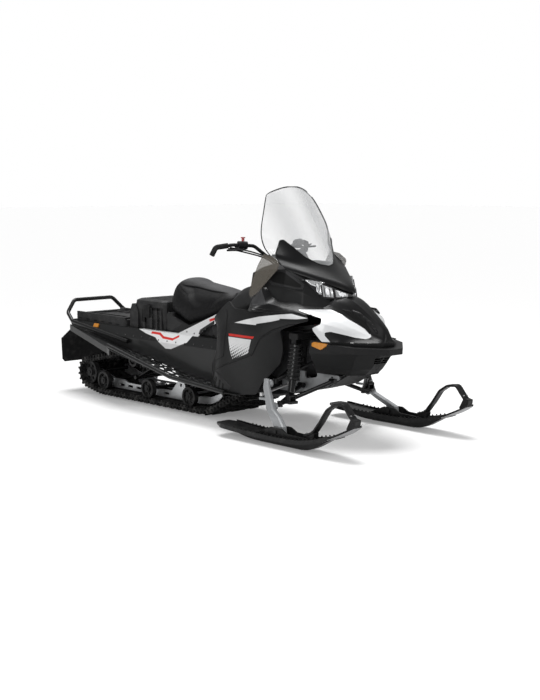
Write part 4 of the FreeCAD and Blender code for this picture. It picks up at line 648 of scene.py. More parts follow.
@dataclass(frozen=True)
class PatchDecals:
    """Bright patches with a red line on painted metal, on its outer faces only."""

    base: Colour
    patches: tuple[tuple[Flat, ...], ...]
    red: tuple[Flat, ...]
    red_width: float
    outer_face: float = 0.188

    def make(self, name: str) -> bpy.types.Material:
        """Makes the material.

        Args:
            name: Its name.

        Returns:
            The material.
        """
        board = Board(name)
        colour: Value = self.base
        band = board.stroke(self.red, self.red_width)
        if self.patches:
            outer = board.place.along((0.0, 1.0, 0.0)).size().over(self.outer_face, 0.002)
            white = union([board.inside(part) for part in self.patches]) * outer
            colour = board.mix(white, self.base, WHITE_INK)
            band = band * white
        colour = board.mix(band, colour, RED_INK)
        return board.close(Plastic(self.base, 0.38, coat=0.15, blotch=0.1).shade(board, colour))


def material_set() -> dict[Slot, bpy.types.Material]:
    """Makes one material for each slot.

    Returns:
        The materials.
    """
    finishes = {
        Slot.TRACK: Plastic((0.012, 0.012, 0.0125), 0.82, 300.0, 0.0009, 0.2, dust=0.25),
        Slot.WHEEL: Plastic((0.013, 0.013, 0.0135), 0.48, 700.0, 0.0003, 0.15, dust=0.12),
        Slot.BLACK: Plastic((0.010, 0.010, 0.0105), 0.5, 800.0, 0.0003),
        Slot.BODY: Plastic(BODY_GREY, 0.42, 900.0, 0.0003),
        Slot.GLOSS: Plastic((0.006, 0.006, 0.0065), 0.34, 1200.0, 0.00008, 0.1, coat=0.08),
        Slot.RACK: Plastic((0.026, 0.026, 0.027), 0.52, 500.0, 0.0004, 0.15, dust=0.08),
        Slot.SKI: SKI_PLASTIC,
        Slot.COATED: Plastic((0.009, 0.009, 0.0095), 0.36, 1200.0, 0.00015, 0.1, coat=0.2, metal=0.2),
        Slot.TUNNEL: Plastic(TUNNEL_GREY, 0.38, 1200.0, 0.0001, 0.1, coat=0.15),
        Slot.FLAP: Plastic((0.010, 0.010, 0.0105), 0.66, 300.0, 0.0006, 0.2, dust=0.08),
        Slot.WHITE: Plastic(WHITE_INK, 0.3, 1200.0, 0.00006, 0.03, coat=0.4),
        Slot.SHELL: Plastic((0.84, 0.85, 0.86), 0.24, 1500.0, 0.00004, 0.02, coat=0.7),
        Slot.STEEL: Metal((0.55, 0.55, 0.55), 0.34, (0.2, 1.0, 1.0)),
        Slot.RAIL: Metal((0.62, 0.63, 0.64), 0.40, (0.06, 1.0, 1.0)),
        Slot.CAST: Metal((0.42, 0.43, 0.44), 0.66, EVEN, 90.0, 0.0006),
        Slot.ENGINE: Metal((0.10, 0.10, 0.105), 0.55),
        Slot.RED: Lens((0.55, 0.012, 0.010), 0.0, (0.0, 1.0, 0.0), 0.006),
        Slot.AMBER: Lens((0.82, 0.30, 0.008), 0.06, (1.0, 0.0, 0.0), 0.008, 0.4),
        Slot.LAMP: Plastic((0.012, 0.012, 0.013), 0.18, 900.0, 0.00005, 0.05, coat=0.9),
        # The seat's second colour is its painted sheen on the top.
        Slot.VINYL: Vinyl((0.0065, 0.0065, 0.007), (0.085, 0.085, 0.088)),
        Slot.CLEAR: Sheet((0.60, 0.61, 0.62), 0.08, 0.20),
        Slot.SMOKE: Sheet((0.17, 0.150, 0.122), 0.44, 0.10),
    }
    return {slot: finish.make("finish_" + slot.value) for slot, finish in finishes.items()}


def eased(share: float) -> float:
    """A share from 0 to 1 with soft ends."""
    return share * share * (3.0 - 2.0 * share)


def placed(name: str, data: bpy.types.ID) -> bpy.types.Object:
    """Makes an object and links it to the scene.

    Args:
        name: Its name.
        data: Its mesh, curve, lamp or camera.

    Returns:
        The object.
    """
    made = bpy.data.objects.new(name, data)
    bpy.context.scene.collection.objects.link(made)
    return made


def baked(body: bpy.types.Object) -> bpy.types.Mesh:
    """Applies a working object's modifiers and removes it.

    Args:
        body: The working object.

    Returns:
        The plain mesh.
    """
    graph = bpy.context.evaluated_depsgraph_get()
    mesh = bpy.data.meshes.new_from_object(body.evaluated_get(graph))
    body.modifiers.clear()
    bpy.data.objects.remove(body)
    return mesh


def mesh_of(shape: bmesh.types.BMesh, name: str) -> bpy.types.Mesh:
    """Turns a shape into a new mesh and frees it.

    Args:
        shape: The shape.
        name: The mesh's name.

    Returns:
        The mesh.
    """
    mesh = bpy.data.meshes.new(name)
    shape.to_mesh(mesh)
    shape.free()
    return mesh


def set_smooth(shape: bmesh.types.BMesh, angle: float, smooth: bool = True) -> None:
    """Shades a shape smooth, with a hard line where its faces meet sharply.

    Args:
        shape: The shape.
        angle: Borders sharper than this stay sharp, in degrees.
        smooth: Whether its faces are smooth.
    """
    for face in shape.faces:
        face.smooth = smooth
    for edge in shape.edges:
        edge.smooth = len(edge.link_faces) == 2 and edge.calc_face_angle(0.0) < math.radians(angle)


class Forge:
    """Turns meshes and geometry trees into finished pieces."""

    row_crease: float = 40.0
    places_per_metre: float = 2e4

    def __init__(self, finishes: dict[Slot, bpy.types.Material]) -> None:
        """Keeps the materials.

        Args:
            finishes: One material for each slot.
        """
        self.finishes = finishes

    def piece(self, name: str, mesh: bpy.types.Mesh, body: str, slot: Slot,
              material: Optional[bpy.types.Material] = None) -> bpy.types.Object:
        """Makes one finished piece.

        Args:
            name: Its name.
            mesh: Its mesh, already in place.
            body: The body that it rides on.
            slot: Its material slot.
            material: A material of its own instead of the slot's.

        Returns:
            The object.
        """
        made = placed(name, mesh)
        mesh.materials.clear()
        mesh.materials.append(material or self.finishes[slot])
        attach(made, body)
        LOG.info("%s: %d faces", name, len(mesh.polygons))
        return made

    def grown(self, name: str, tree: "Tree", data: bpy.types.ID, values: dict[str, object], body: str,
              slot: Slot,
              material: Optional[bpy.types.Material] = None) -> bpy.types.Object:
        """Makes one finished piece with a geometry tree.

        Args:
            name: Its name.
            tree: The tree.
            data: The line or mesh that the tree works on.
            values: The tree's inputs by name.
            body: The body that it rides on.
            slot: Its material slot.
            material: A material of its own instead of the slot's.

        Returns:
            The object.
        """
        worn = material or self.finishes[slot]
        return self.piece(name, tree.run(data, {**values, "Material": worn}), body, slot, material)

    def copy_of(self, node: str, angle: float = 35.0, weld: float = WELD) -> bpy.types.Mesh:
        """A merged, smoothly shaded copy of a CAD node's mesh.

        Args:
            node: The node.
            angle: Edges sharper than this stay sharp, in degrees.
            weld: Points nearer than this are joined, in metres.

        Returns:
            The mesh.
        """
        mesh = frame["nodes"][node].data.copy()
        if mesh.has_custom_normals:
            mesh.attributes.remove(mesh.attributes["custom_normal"])
        shape = bmesh.new()
        shape.from_mesh(mesh)
        bmesh.ops.remove_doubles(shape, verts=shape.verts, dist=weld)
        bmesh.ops.dissolve_degenerate(shape, edges=shape.edges, dist=weld)
        set_smooth(shape, angle)
        shape.to_mesh(mesh)
        shape.free()
        return mesh

    def cad_skin(self, node: str, angle: float) -> bpy.types.Mesh:
        """A merged copy of a CAD node whose own normals are blended over its soft borders.

        Args:
            node: The node.
            angle: Borders sharper than this stay sharp, in degrees.

        Returns:
            The mesh.
        """
        mesh = frame["nodes"][node].data.copy()
        normals = [Vector(entry.vector) for entry in mesh.corner_normals]
        corners: dict[tuple[int, ...], list[tuple[int, float]]] = {}
        for polygon in mesh.polygons:
            polygon.use_smooth = True
            for loop in polygon.loop_indices:
                place = mesh.vertices[mesh.loops[loop].vertex_index].co
                key = tuple(round(c * self.places_per_metre) for c in place)
                corners.setdefault(key, []).append((loop, polygon.area))
        limit = math.cos(math.radians(angle))
        blended = list(normals)
        for members in corners.values():
            for loop, _ in members:
                total = Vector((0.0, 0.0, 0.0))
                for other, area in members:
                    if normals[loop].dot(normals[other]) > limit:
                        total += normals[other] * area
                if total.length > 0.0:
                    blended[loop] = total.normalized()
        # An attribute carries the normals through the merge, which renumbers the corners.
        kept = mesh.attributes.new("blended", "FLOAT_VECTOR", "CORNER")
        kept.data.foreach_set("vector", [c for normal in blended for c in normal])
        mesh.attributes.remove(mesh.attributes["custom_normal"])
        shape = bmesh.new()
        shape.from_mesh(mesh)
        bmesh.ops.remove_doubles(shape, verts=shape.verts, dist=WELD)
        for edge in shape.edges:
            edge.smooth = True
        shape.to_mesh(mesh)
        shape.free()
        mesh.normals_split_custom_set([tuple(entry.vector) for entry in mesh.attributes["blended"].data])
        mesh.attributes.remove(mesh.attributes["blended"])
        return mesh

    def rows(self, name: str, rings: Sequence[Sequence[Point]], slot: Slot, smooth: bool = True,
             material: Optional[bpy.types.Material] = None, loop: bool = False) -> bpy.types.Object:
        """A closed skin through rings of points, on the chassis.

        Args:
            name: The piece's name.
            rings: The rings, all with the same number of points.
            slot: Its material slot.
            smooth: Whether it is shaded smooth.
            material: A material of its own.
            loop: Whether the last ring joins the first, instead of both being capped.

        Returns:
            The object.
        """
        shape = bmesh.new()
        grid = [[shape.verts.new(p) for p in ring] for ring in rings]
        count = len(grid[0])
        for low, high in zip(grid, grid[1:] + grid[:1] if loop else grid[1:]):
            for i in range(count):
                j = (i + 1) % count
                shape.faces.new((low[i], low[j], high[j], high[i]))
        if not loop:
            shape.faces.new(grid[0][::-1])
            shape.faces.new(grid[-1])
        bmesh.ops.recalc_face_normals(shape, faces=shape.faces)
        set_smooth(shape, self.row_crease, smooth)
        return self.piece(name, mesh_of(shape, name), "chassis", slot, material)


SOCKETS = {int: "NodeSocketInt", float: "NodeSocketFloat", tuple: "NodeSocketVector"}


class Tree:
    """A geometry tree with named inputs and a material."""

    def __init__(self, name: str, inputs: dict[str, Union[int, float, Point]]) -> None:
        """Makes the tree and its sockets.

        Args:
            name: The tree's name.
            inputs: The value that each input starts with.
        """
        self.tree = bpy.data.node_groups.new(name, "GeometryNodeTree")
        self.tree.is_modifier = True
        sockets = self.tree.interface
        sockets.new_socket("Geometry", in_out="INPUT", socket_type="NodeSocketGeometry")
        self.names: dict[str, str] = {}
        for label, value in inputs.items():
            socket = sockets.new_socket(label, in_out="INPUT", socket_type=SOCKETS[type(value)])
            socket.default_value = value
            self.names[label] = socket.identifier
        material = sockets.new_socket("Material", in_out="INPUT", socket_type="NodeSocketMaterial")
        self.names["Material"] = material.identifier
        sockets.new_socket("Geometry", in_out="OUTPUT", socket_type="NodeSocketGeometry")
        self.start = self.tree.nodes.new("NodeGroupInput")
        self.stop = self.tree.nodes.new("NodeGroupOutput")

    def node(self, kind: str, settings: dict, inputs: dict,
             output: Union[int, str] = 0) -> bpy.types.NodeSocket:
        """Adds a node.

        Args:
            kind: The node's type.
            settings: Its own settings.
            inputs: Values or output sockets by socket name or number.
            output: The output wanted.

        Returns:
            That output.
        """
        made = self.tree.nodes.new(kind)
        for name, value in settings.items():
            setattr(made, name, value)
        for name, value in inputs.items():
            if isinstance(value, bpy.types.NodeSocket):
                self.tree.links.new(value, made.inputs[name])
            else:
                made.inputs[name].default_value = value
        return made.outputs[output]

    def math(self, operation: str, *values: object) -> bpy.types.NodeSocket:
        """Adds one Math node."""
        return self.node("ShaderNodeMath", {"operation": operation}, dict(enumerate(values)))

    def vector(self, *parts: object) -> bpy.types.NodeSocket:
        """A vector from its three parts."""
        return self.node("ShaderNodeCombineXYZ", {}, dict(zip("XYZ", parts)))

    def parts(self, vector: bpy.types.NodeSocket) -> list[bpy.types.NodeSocket]:
        """The three parts of a vector."""
        return [self.node("ShaderNodeSeparateXYZ", {}, {"Vector": vector}, axis) for axis in "XYZ"]

    def steps(self, mode: str, amount: str) -> bpy.types.NodeSocket:
        """Places at equal steps along the lines.

        Args:
            mode: LENGTH or COUNT.
            amount: The input that gives it.

        Returns:
            The stepped lines.
        """
        inputs = self.start.outputs
        return self.node("GeometryNodeResampleCurve", {"mode": mode},
                         {"Curve": inputs["Geometry"], mode.title(): inputs[amount]})

    def facing(self, direction: bpy.types.NodeSocket) -> bpy.types.NodeSocket:
        """The turn that points an item's Z axis in a direction."""
        return self.node("FunctionNodeAlignRotationToVector", {"axis": "Z"}, {"Vector": direction})

    def end_in_tubes(self, path: bpy.types.NodeSocket, corners: int) -> "Tree":
        """Ends the tree in round tubes along lines.

        Args:
            path: The lines.
            corners: The tubes' corners.

        Returns:
            The tree.
        """
        ring = self.node("GeometryNodeCurvePrimitiveCircle", {"mode": "RADIUS"},
                         {"Resolution": corners, "Radius": self.start.outputs["Radius"]})
        return self.close(self.node("GeometryNodeCurveToMesh", {},
                                    {"Curve": path, "Profile Curve": ring, "Fill Caps": True}))

    def end_in_copies(self, places: bpy.types.NodeSocket, item: bpy.types.NodeSocket,
                      turn: bpy.types.NodeSocket) -> "Tree":
        """Ends the tree in copies of one item.

        Args:
            places: Where the copies stand.
            item: What is copied.
            turn: How each copy is turned.

        Returns:
            The tree.
        """
        return self.close(self.node("GeometryNodeInstanceOnPoints", {},
                                    {"Points": places, "Instance": item, "Rotation": turn}))

    def close(self, last: bpy.types.NodeSocket) -> "Tree":
        """Ends the tree in real geometry with its material.

        Args:
            last: The finished geometry.

        Returns:
            The tree.
        """
        real = self.node("GeometryNodeRealizeInstances", {}, {"Geometry": last})
        dressed = self.node("GeometryNodeSetMaterial", {},
                            {"Geometry": real, "Material": self.start.outputs["Material"]})
        self.tree.links.new(dressed, self.stop.inputs[0])
        return self

    def run(self, data: bpy.types.ID, values: dict[str, object]) -> bpy.types.Mesh:
        """Runs the tree on a mesh or curve.

        Args:
            data: The mesh or curve.
            values: The inputs by name.

        Returns:
            The result as a plain mesh.
        """
        carrier = placed("carrier", data)
        modifier = carrier.modifiers.new("tree", "NODES")
        modifier.node_group = self.tree
        for label, value in values.items():
            modifier[self.names[label]] = value
        bpy.context.view_layer.update()
        return baked(carrier)


def line_curve(lines: Sequence[Sequence[Point]], closed: bool = False,
               smooth: bool = False) -> bpy.types.Curve:
    """A curve of straight runs, or of smooth runs near its points.

    Args:
        lines: The corner points of each line.
        closed: Whether each line closes on itself.
        smooth: Whether the runs are NURBS splines.

    Returns:
        The curve.
    """
    curve = bpy.data.curves.new("line", "CURVE")
    curve.dimensions = "3D"
    for line in lines:
        spline = curve.splines.new("NURBS" if smooth else "POLY")
        spline.points.add(len(line) - 1)
        for point, place in zip(spline.points, line):
            point.co = (*place, 1.0)
        spline.use_cyclic_u = closed
        if smooth:
            spline.order_u = 3
            spline.use_endpoint_u = True
    return curve


class Toolbox:
    """The geometry trees that the sub-assemblies share."""

    head_taper: float = 0.72

    def __init__(self) -> None:
        """Builds the trees."""
        self.fixings = self._fixings()
        tube = Tree("tube_along_a_line", {"Radius": 0.002, "Step": 0.01})
        self.tube = tube.end_in_tubes(tube.steps("LENGTH", "Step"), 8)
        edge = Tree("edge_of_a_sheet", {"Radius": 0.002})
        self.edge = edge.end_in_tubes(
            edge.node("GeometryNodeMeshToCurve", {}, {"Mesh": edge.start.outputs["Geometry"]}), 6)
        self.stitches = self._stitches()

    def _fixings(self) -> Tree:
        """Round or six-sided heads at equal steps, all facing one way.

        Returns:
            The tree.
        """
        tree = Tree("fixings_along_a_line", {"Spacing": 0.05, "Radius": 0.005, "Height": 0.003, "Corners": 8,
                                             "Facing": UP})
        inputs = tree.start.outputs
        top = tree.math("MULTIPLY", inputs["Radius"], self.head_taper)
        head = tree.node("GeometryNodeMeshCone", {"fill_type": "NGON"}, {
            "Vertices": inputs["Corners"], "Radius Top": top, "Radius Bottom": inputs["Radius"],
            "Depth": inputs["Height"]})
        return tree.end_in_copies(tree.steps("LENGTH", "Spacing"), head, tree.facing(inputs["Facing"]))

    @staticmethod
    def _stitches() -> Tree:
        """Short threads laid along the line.

        Returns:
            The tree.
        """
        tree = Tree("stitches_along_a_line", {"Spacing": 0.008, "Length": 0.005, "Radius": 0.0008})
        inputs = tree.start.outputs
        thread = tree.node("GeometryNodeMeshCylinder", {"fill_type": "NGON"}, {
            "Vertices": 5, "Radius": inputs["Radius"], "Depth": inputs["Length"]})
        run = tree.node("GeometryNodeInputTangent", {}, {})
        return tree.end_in_copies(tree.steps("LENGTH", "Spacing"), thread, tree.facing(run))


class Surface:
    """A ray target made from one mesh."""

    def __init__(self, mesh: bpy.types.Mesh) -> None:
        """Builds the search tree.

        Args:
            mesh: The mesh that rays are cast on.
        """
        mesh.calc_loop_triangles()
        self.tree = BVHTree.FromPolygons([v.co.copy() for v in mesh.vertices],
                                         [tuple(t.vertices) for t in mesh.loop_triangles])

    def hit(self, start: Point, toward: Point, lift: float) -> Optional[Vector]:
        """Where a ray meets the mesh.

        Args:
            start: Where it starts.
            toward: Its direction.
            lift: How far the result stands off the surface.

        Returns:
            The place, or nothing.
        """
        place, normal, _, _ = self.tree.ray_cast(Vector(start), Vector(toward))
        if place is None:
            return None
        if normal.dot(Vector(toward)) > 0:
            normal = -normal
        return place + normal * lift

    def from_side(self, line: Sequence[Flat], side: float, lift: float, steps: int = 6) -> list[Point]:
        """Lays a side-view line on the surface.

        Args:
            line: X and Z of its corners.
            side: -1 for the right side, 1 for the left.
            lift: How far it stands off.
            steps: Points on each run.

        Returns:
            The points.
        """
        spots = [(x0 + i / steps * (x1 - x0), z0 + i / steps * (z1 - z0))
                 for (x0, z0), (x1, z1) in zip(line, line[1:]) for i in range(steps)]
        hits = [self.hit((x, side * BESIDE, z), (0.0, -side, 0.0), lift) for x, z in [*spots, line[-1]]]
        return [tuple(place) for place in hits if place is not None]

    def from_above(self, stations: Sequence[float], across: float, lift: float) -> list[Point]:
        """Drops places on the surface from above the skis.

        Args:
            stations: The places along the machine.
            across: The place across it.
            lift: How far they stand off.

        Returns:
            The points.
        """
        hits = [self.hit((x, across, ABOVE_SKIS), DOWN, lift) for x in stations]
        return [tuple(place) for place in hits if place is not None]


@dataclass
class CarriedNodes:
    """Gives every CAD node that stays its slot's material, or one of its own."""

    forge: Forge
    own: dict[str, bpy.types.Material] = field(default_factory=dict)

    def dress(self) -> None:
        """Assigns the materials."""
        for entry in frame["record"]["subparts"]:
            node = frame["nodes"][entry["node"]]
            material = self.own.get(entry["node"], self.forge.finishes[Slot(entry["material_slot"])])
            for place in node.material_slots:
                place.material = material
            LOG.info("%s wears %s", entry["node"], material.name)


@dataclass
class HoodShell:
    """The hood and its neighbours as smoothly shaded skins of their CAD solids."""

    forge: Forge
    smooth_angle: float = 32.0
    nodes: tuple[str, ...] = ("hood", "hood_panels", "headlamp_pod", "windshield_cowl", "console",
                              "nose_fascia")

    def build(self) -> None:
        """Replaces the hood's CAD nodes by smooth copies."""
        slots = {entry["node"]: Slot(entry["material_slot"]) for entry in frame["record"]["subparts"]}
        for node in self.nodes:
            mesh = self.forge.cad_skin(node, self.smooth_angle)
            skin = self.forge.piece(node + "_skin", mesh, "chassis", slots[node])
            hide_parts(node)


@dataclass
class Saddle:
    """The rider's seat: a cushion that is blown up by cloth simulation and gets its seams after it."""

    forge: Forge
    tools: Toolbox
    voxel: float = 0.006
    pressure: float = 4.0
    stiffness: float = 12.0
    frames: int = 16
    most_move: float = 0.010
    shrink: float = 0.004
    seam_depth: float = 0.0016
    seam_width: float = 0.006
    near: float = 0.02
    scoop: float = 0.017
    scoop_rear: float = 0.10
    scoop_front: float = 0.08
    scoop_low: float = 0.055
    scoop_high: float = 0.010
    stitch: Point = (0.010, 0.0065, 0.0007)
    top_edge: tuple[Flat, ...] = ((-0.40, 0.862), (-0.319, 0.840), (-0.086, 0.818), (0.047, 0.810),
                                  (0.117, 0.788))
    side_seam: tuple[Flat, ...] = (
        (-0.40, 0.850), (-0.338, 0.813), (-0.274, 0.782), (-0.224, 0.732), (-0.170, 0.694), (-0.107, 0.677),
        (-0.034, 0.690), (0.032, 0.741), (0.085, 0.765))

    def _cushion(self) -> bpy.types.Mesh:
        """The remeshed and swollen cushion.

        Returns:
            Its mesh.
        """
        body = placed("cushion", self.forge.copy_of("seat", 180.0, 1e-4))
        remesh = body.modifiers.new("remesh", "REMESH")
        remesh.mode = "VOXEL"
        remesh.voxel_size = self.voxel
        remesh.use_smooth_shade = True
        grid = baked(body)
        rest = [v.co.copy() for v in grid.vertices]
        normals = [v.normal.copy() for v in grid.vertices]
        for vertex, normal in zip(grid.vertices, normals):
            vertex.co -= normal * self.shrink
        soft = placed("soft", grid)
        cloth = soft.modifiers.new("cloth", "CLOTH")
        cloth.settings.use_pressure = True
        cloth.settings.uniform_pressure_force = self.pressure
        cloth.settings.effector_weights.gravity = 0.0
        cloth.settings.quality = 4
        cloth.settings.tension_stiffness = self.stiffness
        cloth.settings.compression_stiffness = self.stiffness
        cloth.collision_settings.use_collision = False
        cloth.collision_settings.use_self_collision = False
        cloth.point_cache.frame_start = 1
        cloth.point_cache.frame_end = self.frames
        scene = bpy.context.scene
        for number in range(1, self.frames + 1):
            scene.frame_set(number)
        swollen = baked(soft)
        scene.frame_set(1)
        for vertex, start in zip(swollen.vertices, rest):
            move = vertex.co - start
            if move.length > self.most_move:
                vertex.co = start + move.normalized() * self.most_move
        return swollen

    def _scooped(self, x: float, z: float) -> float:
        """How deep the soft hollow between the side seam and the top's edge is at a place.

        Args:
            x: The place along the machine.
            z: Its height.

        Returns:
            0 at the hollow's borders, 1 at its deepest.
        """
        rear, front = self.side_seam[0][0], self.side_seam[-1][0]
        if not rear < x < front:
            return 0.0
        low, high = (next(z0 + (z1 - z0) * (x - x0) / (x1 - x0)
                          for (x0, z0), (x1, z1) in zip(line, line[1:]) if x <= x1)
                     for line in (self.side_seam, self.top_edge))
        if not low < z < high:
            return 0.0
        end = min(1.0, (x - rear) / self.scoop_rear, (front - x) / self.scoop_front)
        return (end * eased(min(1.0, (z - low) / self.scoop_low))
                * eased(min(1.0, (high - z) / self.scoop_high)))

    def _press(self, grid: bpy.types.Mesh) -> None:
        """Presses the seams and the side hollows into the cushion.

        Args:
            grid: The cushion's mesh.
        """
        face = Surface(grid)
        cells: dict[tuple[int, ...], list[Vector]] = {}
        for side, _ in SIDES:
            for place in face.from_side(self.side_seam, side, 0.0, 24):
                cells.setdefault(tuple(math.floor(c / self.near) for c in place), []).append(Vector(place))
        around = [(dx, dy, dz) for dx in (-1, 0, 1) for dy in (-1, 0, 1) for dz in (-1, 0, 1)]
        normals = [v.normal.copy() for v in grid.vertices]
        for vertex, normal in zip(grid.vertices, normals):
            key = tuple(math.floor(c / self.near) for c in vertex.co)
            seam = [p for shift in around for p in cells.get(tuple(k + d for k, d in zip(key, shift)), ())]
            if seam:
                away = min((p - vertex.co).length for p in seam)
                vertex.co -= normal * self.seam_depth * math.exp(-((away / self.seam_width) ** 2))
            sideways = min(1.0, 1.5 * abs(normal.y))
            hollow = self.scoop * sideways * self._scooped(vertex.co.x, vertex.co.z)
            vertex.co.y -= math.copysign(hollow, vertex.co.y)

    def build(self) -> None:
        """Makes the cushion, presses its seams in and sews them."""
        grid = self._cushion()
        self._press(grid)
        for polygon in grid.polygons:
            polygon.use_smooth = True
        seat = self.forge.piece("saddle_cushion", grid, "chassis", Slot.VINYL)
        smooth = seat.modifiers.new("smooth", "SUBSURF")
        smooth.levels = smooth.render_levels = 1
        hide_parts("seat")
        face = Surface(grid)
        rows = [face.from_side(self.side_seam, side, 0.0004, 8) for side, _ in SIDES]
        spacing, length, radius = self.stitch
        self.forge.grown("saddle_stitches", self.tools.stitches,
                         line_curve([row for row in rows if len(row) > 2]),
                         {"Spacing": spacing, "Length": length, "Radius": radius}, "chassis", Slot.VINYL,
                         self.forge.finishes[Slot.BLACK])


@dataclass
class Screen:
    """The clear windshield's dark edge."""

    forge: Forge
    tools: Toolbox
    edge_radius: float = 0.0028
    sharp: float = 55.0
    below_top: float = 0.0001

    def build(self) -> None:
        """Lays a thin dark edge round the clear sheet."""
        shape = bmesh.new()
        shape.from_mesh(self.forge.copy_of("windshield", 30.0))
        limit = math.radians(self.sharp)
        picked = bmesh.new()
        made: dict[int, bmesh.types.BMVert] = {}
        for edge in shape.edges:
            if len(edge.link_faces) != 2 or edge.calc_face_angle(0.0) <= limit:
                continue
            for vertex in edge.verts:
                if vertex.index not in made:
                    made[vertex.index] = picked.verts.new(vertex.co)
            picked.edges.new([made[v.index] for v in edge.verts])
        shape.free()
        trim = self.tools.edge.run(mesh_of(picked, "edge"),
                                   {"Radius": self.edge_radius, "Material": self.forge.finishes[Slot.FLAP]})
        _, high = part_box("windshield")
        for vertex in trim.vertices:
            vertex.co.z = min(vertex.co.z, high[2] - self.below_top)
        self.forge.piece("windshield_edge", trim, "chassis", Slot.FLAP)


@dataclass
class HeadLamp:
    """What is seen in the headlamp: bright bowls, dark fins and lit cells on the wedge's front face."""

    forge: Forge
    upper: tuple[Point, ...] = (
        (1.088, 0.0, 0.855), (1.036, 0.058, 0.885), (0.984, 0.106, 0.914), (0.942, 0.150, 0.938),
        (0.918, 0.174, 0.943))
    lower: tuple[Point, ...] = (
        (1.084, 0.0, 0.815), (1.047, 0.058, 0.834), (1.004, 0.106, 0.833), (0.960, 0.150, 0.838),
        (0.932, 0.174, 0.886))
    lean: Point = (0.75, 0.55, 0.2)
    stand: float = 0.0015
    bowls: tuple[tuple[float, float, float, float], ...] = (
        (0.10, 0.36, 0.16, 0.84), (0.42, 0.66, 0.12, 0.86), (0.70, 0.88, 0.22, 0.80))
    bowl_depth: float = 0.004
    bowl_grid: tuple[int, int] = (8, 6)
    fins: int = 7
    fin_span: Flat = (0.12, 0.74)
    fin_rise: Flat = (0.1, 0.78)
    fin_half: float = 0.006
    fin_depth: float = 0.010
    cells: Flat = (0.23, 0.54)
    cell_size: Point = (0.055, 0.24, 0.006)
    cell_grid: tuple[int, int] = (12, 14)

    def _at(self, across: float, up: float, side: float, lift: float) -> Point:
        """A place on the lamp's face.

        Args:
            across: 0 in the middle, 1 at the outer end.
            up: 0 at the lower edge, 1 at the upper edge.
            side: -1 for the right side, 1 for the left.
            lift: How far in front of the face.

        Returns:
            The place.
        """
        span = across * (len(self.upper) - 1)
        i = min(int(span), len(self.upper) - 2)
        low, high = (Vector(edge[i]).lerp(Vector(edge[i + 1]), span - i) for edge in (self.lower, self.upper))
        place = low.lerp(high, up)
        ahead, outward, upward = self.lean
        return (place.x + lift * ahead, side * (place.y + lift * outward), place.z + lift * upward)

    def _bowl(self, span: tuple[float, float, float, float], side: float) -> list[list[Point]]:
        """Rings over one hollow bowl.

        Args:
            span: Where it starts and ends across, then its lower and upper edge.
            side: -1 for the right side, 1 for the left.

        Returns:
            The rings.
        """
        start, stop, bottom, top = span
        columns, rows = self.bowl_grid
        rings = []
        for i in range(columns + 1):
            across = start + (stop - start) * i / columns
            dip = 1.0 - (2.0 * i / columns - 1.0) ** 2
            ring = []
            for j in range(rows + 1):
                hollow = dip * (1.0 - (2.0 * j / rows - 1.0) ** 2)
                lift = self.stand + self.bowl_depth * (1.0 - hollow)
                ring.append(self._at(across, bottom + (top - bottom) * j / rows, side, lift))
            rings.append(ring + [self._at(across, up, side, -self.bowl_depth) for up in (top, bottom)])
        return rings

    def _fin(self, number: int, side: float) -> list[list[Point]]:
        """Rings up one upright fin.

        Args:
            number: Which fin it is.
            side: -1 for the right side, 1 for the left.

        Returns:
            The rings.
        """
        across = self.fin_span[0] + self.fin_span[1] * number / (self.fins - 1)
        before, after = across - self.fin_half, across + self.fin_half
        section = ((before, 0.0), (after, 0.0), (after, self.fin_depth), (before, self.fin_depth))
        return [[self._at(place, self.fin_rise[0] + self.fin_rise[1] * j / 4, side, lift)
                 for place, lift in section] for j in range(5)]

    def _cell(self, middle: float, side: float) -> list[list[Point]]:
        """Rings over one rounded light cell.

        Args:
            middle: Its middle across the lamp.
            side: -1 for the right side, 1 for the left.

        Returns:
            The rings.
        """
        wide, tall, deep = self.cell_size
        columns, corners = self.cell_grid
        rings = []
        for i in range(columns + 1):
            angle = math.pi * i / columns
            radius = max(math.sin(angle), 0.02)
            rings.append([self._at(middle + wide * math.cos(angle), 0.5 + tall * radius * math.cos(turn),
                                   side,
                                   deep + deep * radius * math.sin(turn))
                          for turn in (2.0 * math.pi * j / corners for j in range(corners))])
        return rings

    def build(self) -> None:
        """Makes bowls, fins and cells for both halves."""
        bowl = Metal((0.78, 0.79, 0.80), 0.2).make("lamp_bowl")
        cell = Lens((0.95, 0.96, 0.98), 0.35, (0.0, 1.0, 0.0), 0.004).make("lamp_cell")
        for side, label in SIDES:
            for number, span in enumerate(self.bowls):
                self.forge.rows(f"lamp_bowl_{label}_{number}", self._bowl(span, side), Slot.LAMP, True, bowl)
            for number in range(self.fins):
                self.forge.rows(f"lamp_fin_{label}_{number}", self._fin(number, side), Slot.LAMP, False)
            for number, middle in enumerate(self.cells):
                self.forge.rows(f"lamp_cell_{label}_{number}", self._cell(middle, side), Slot.LAMP, True,
                                cell)


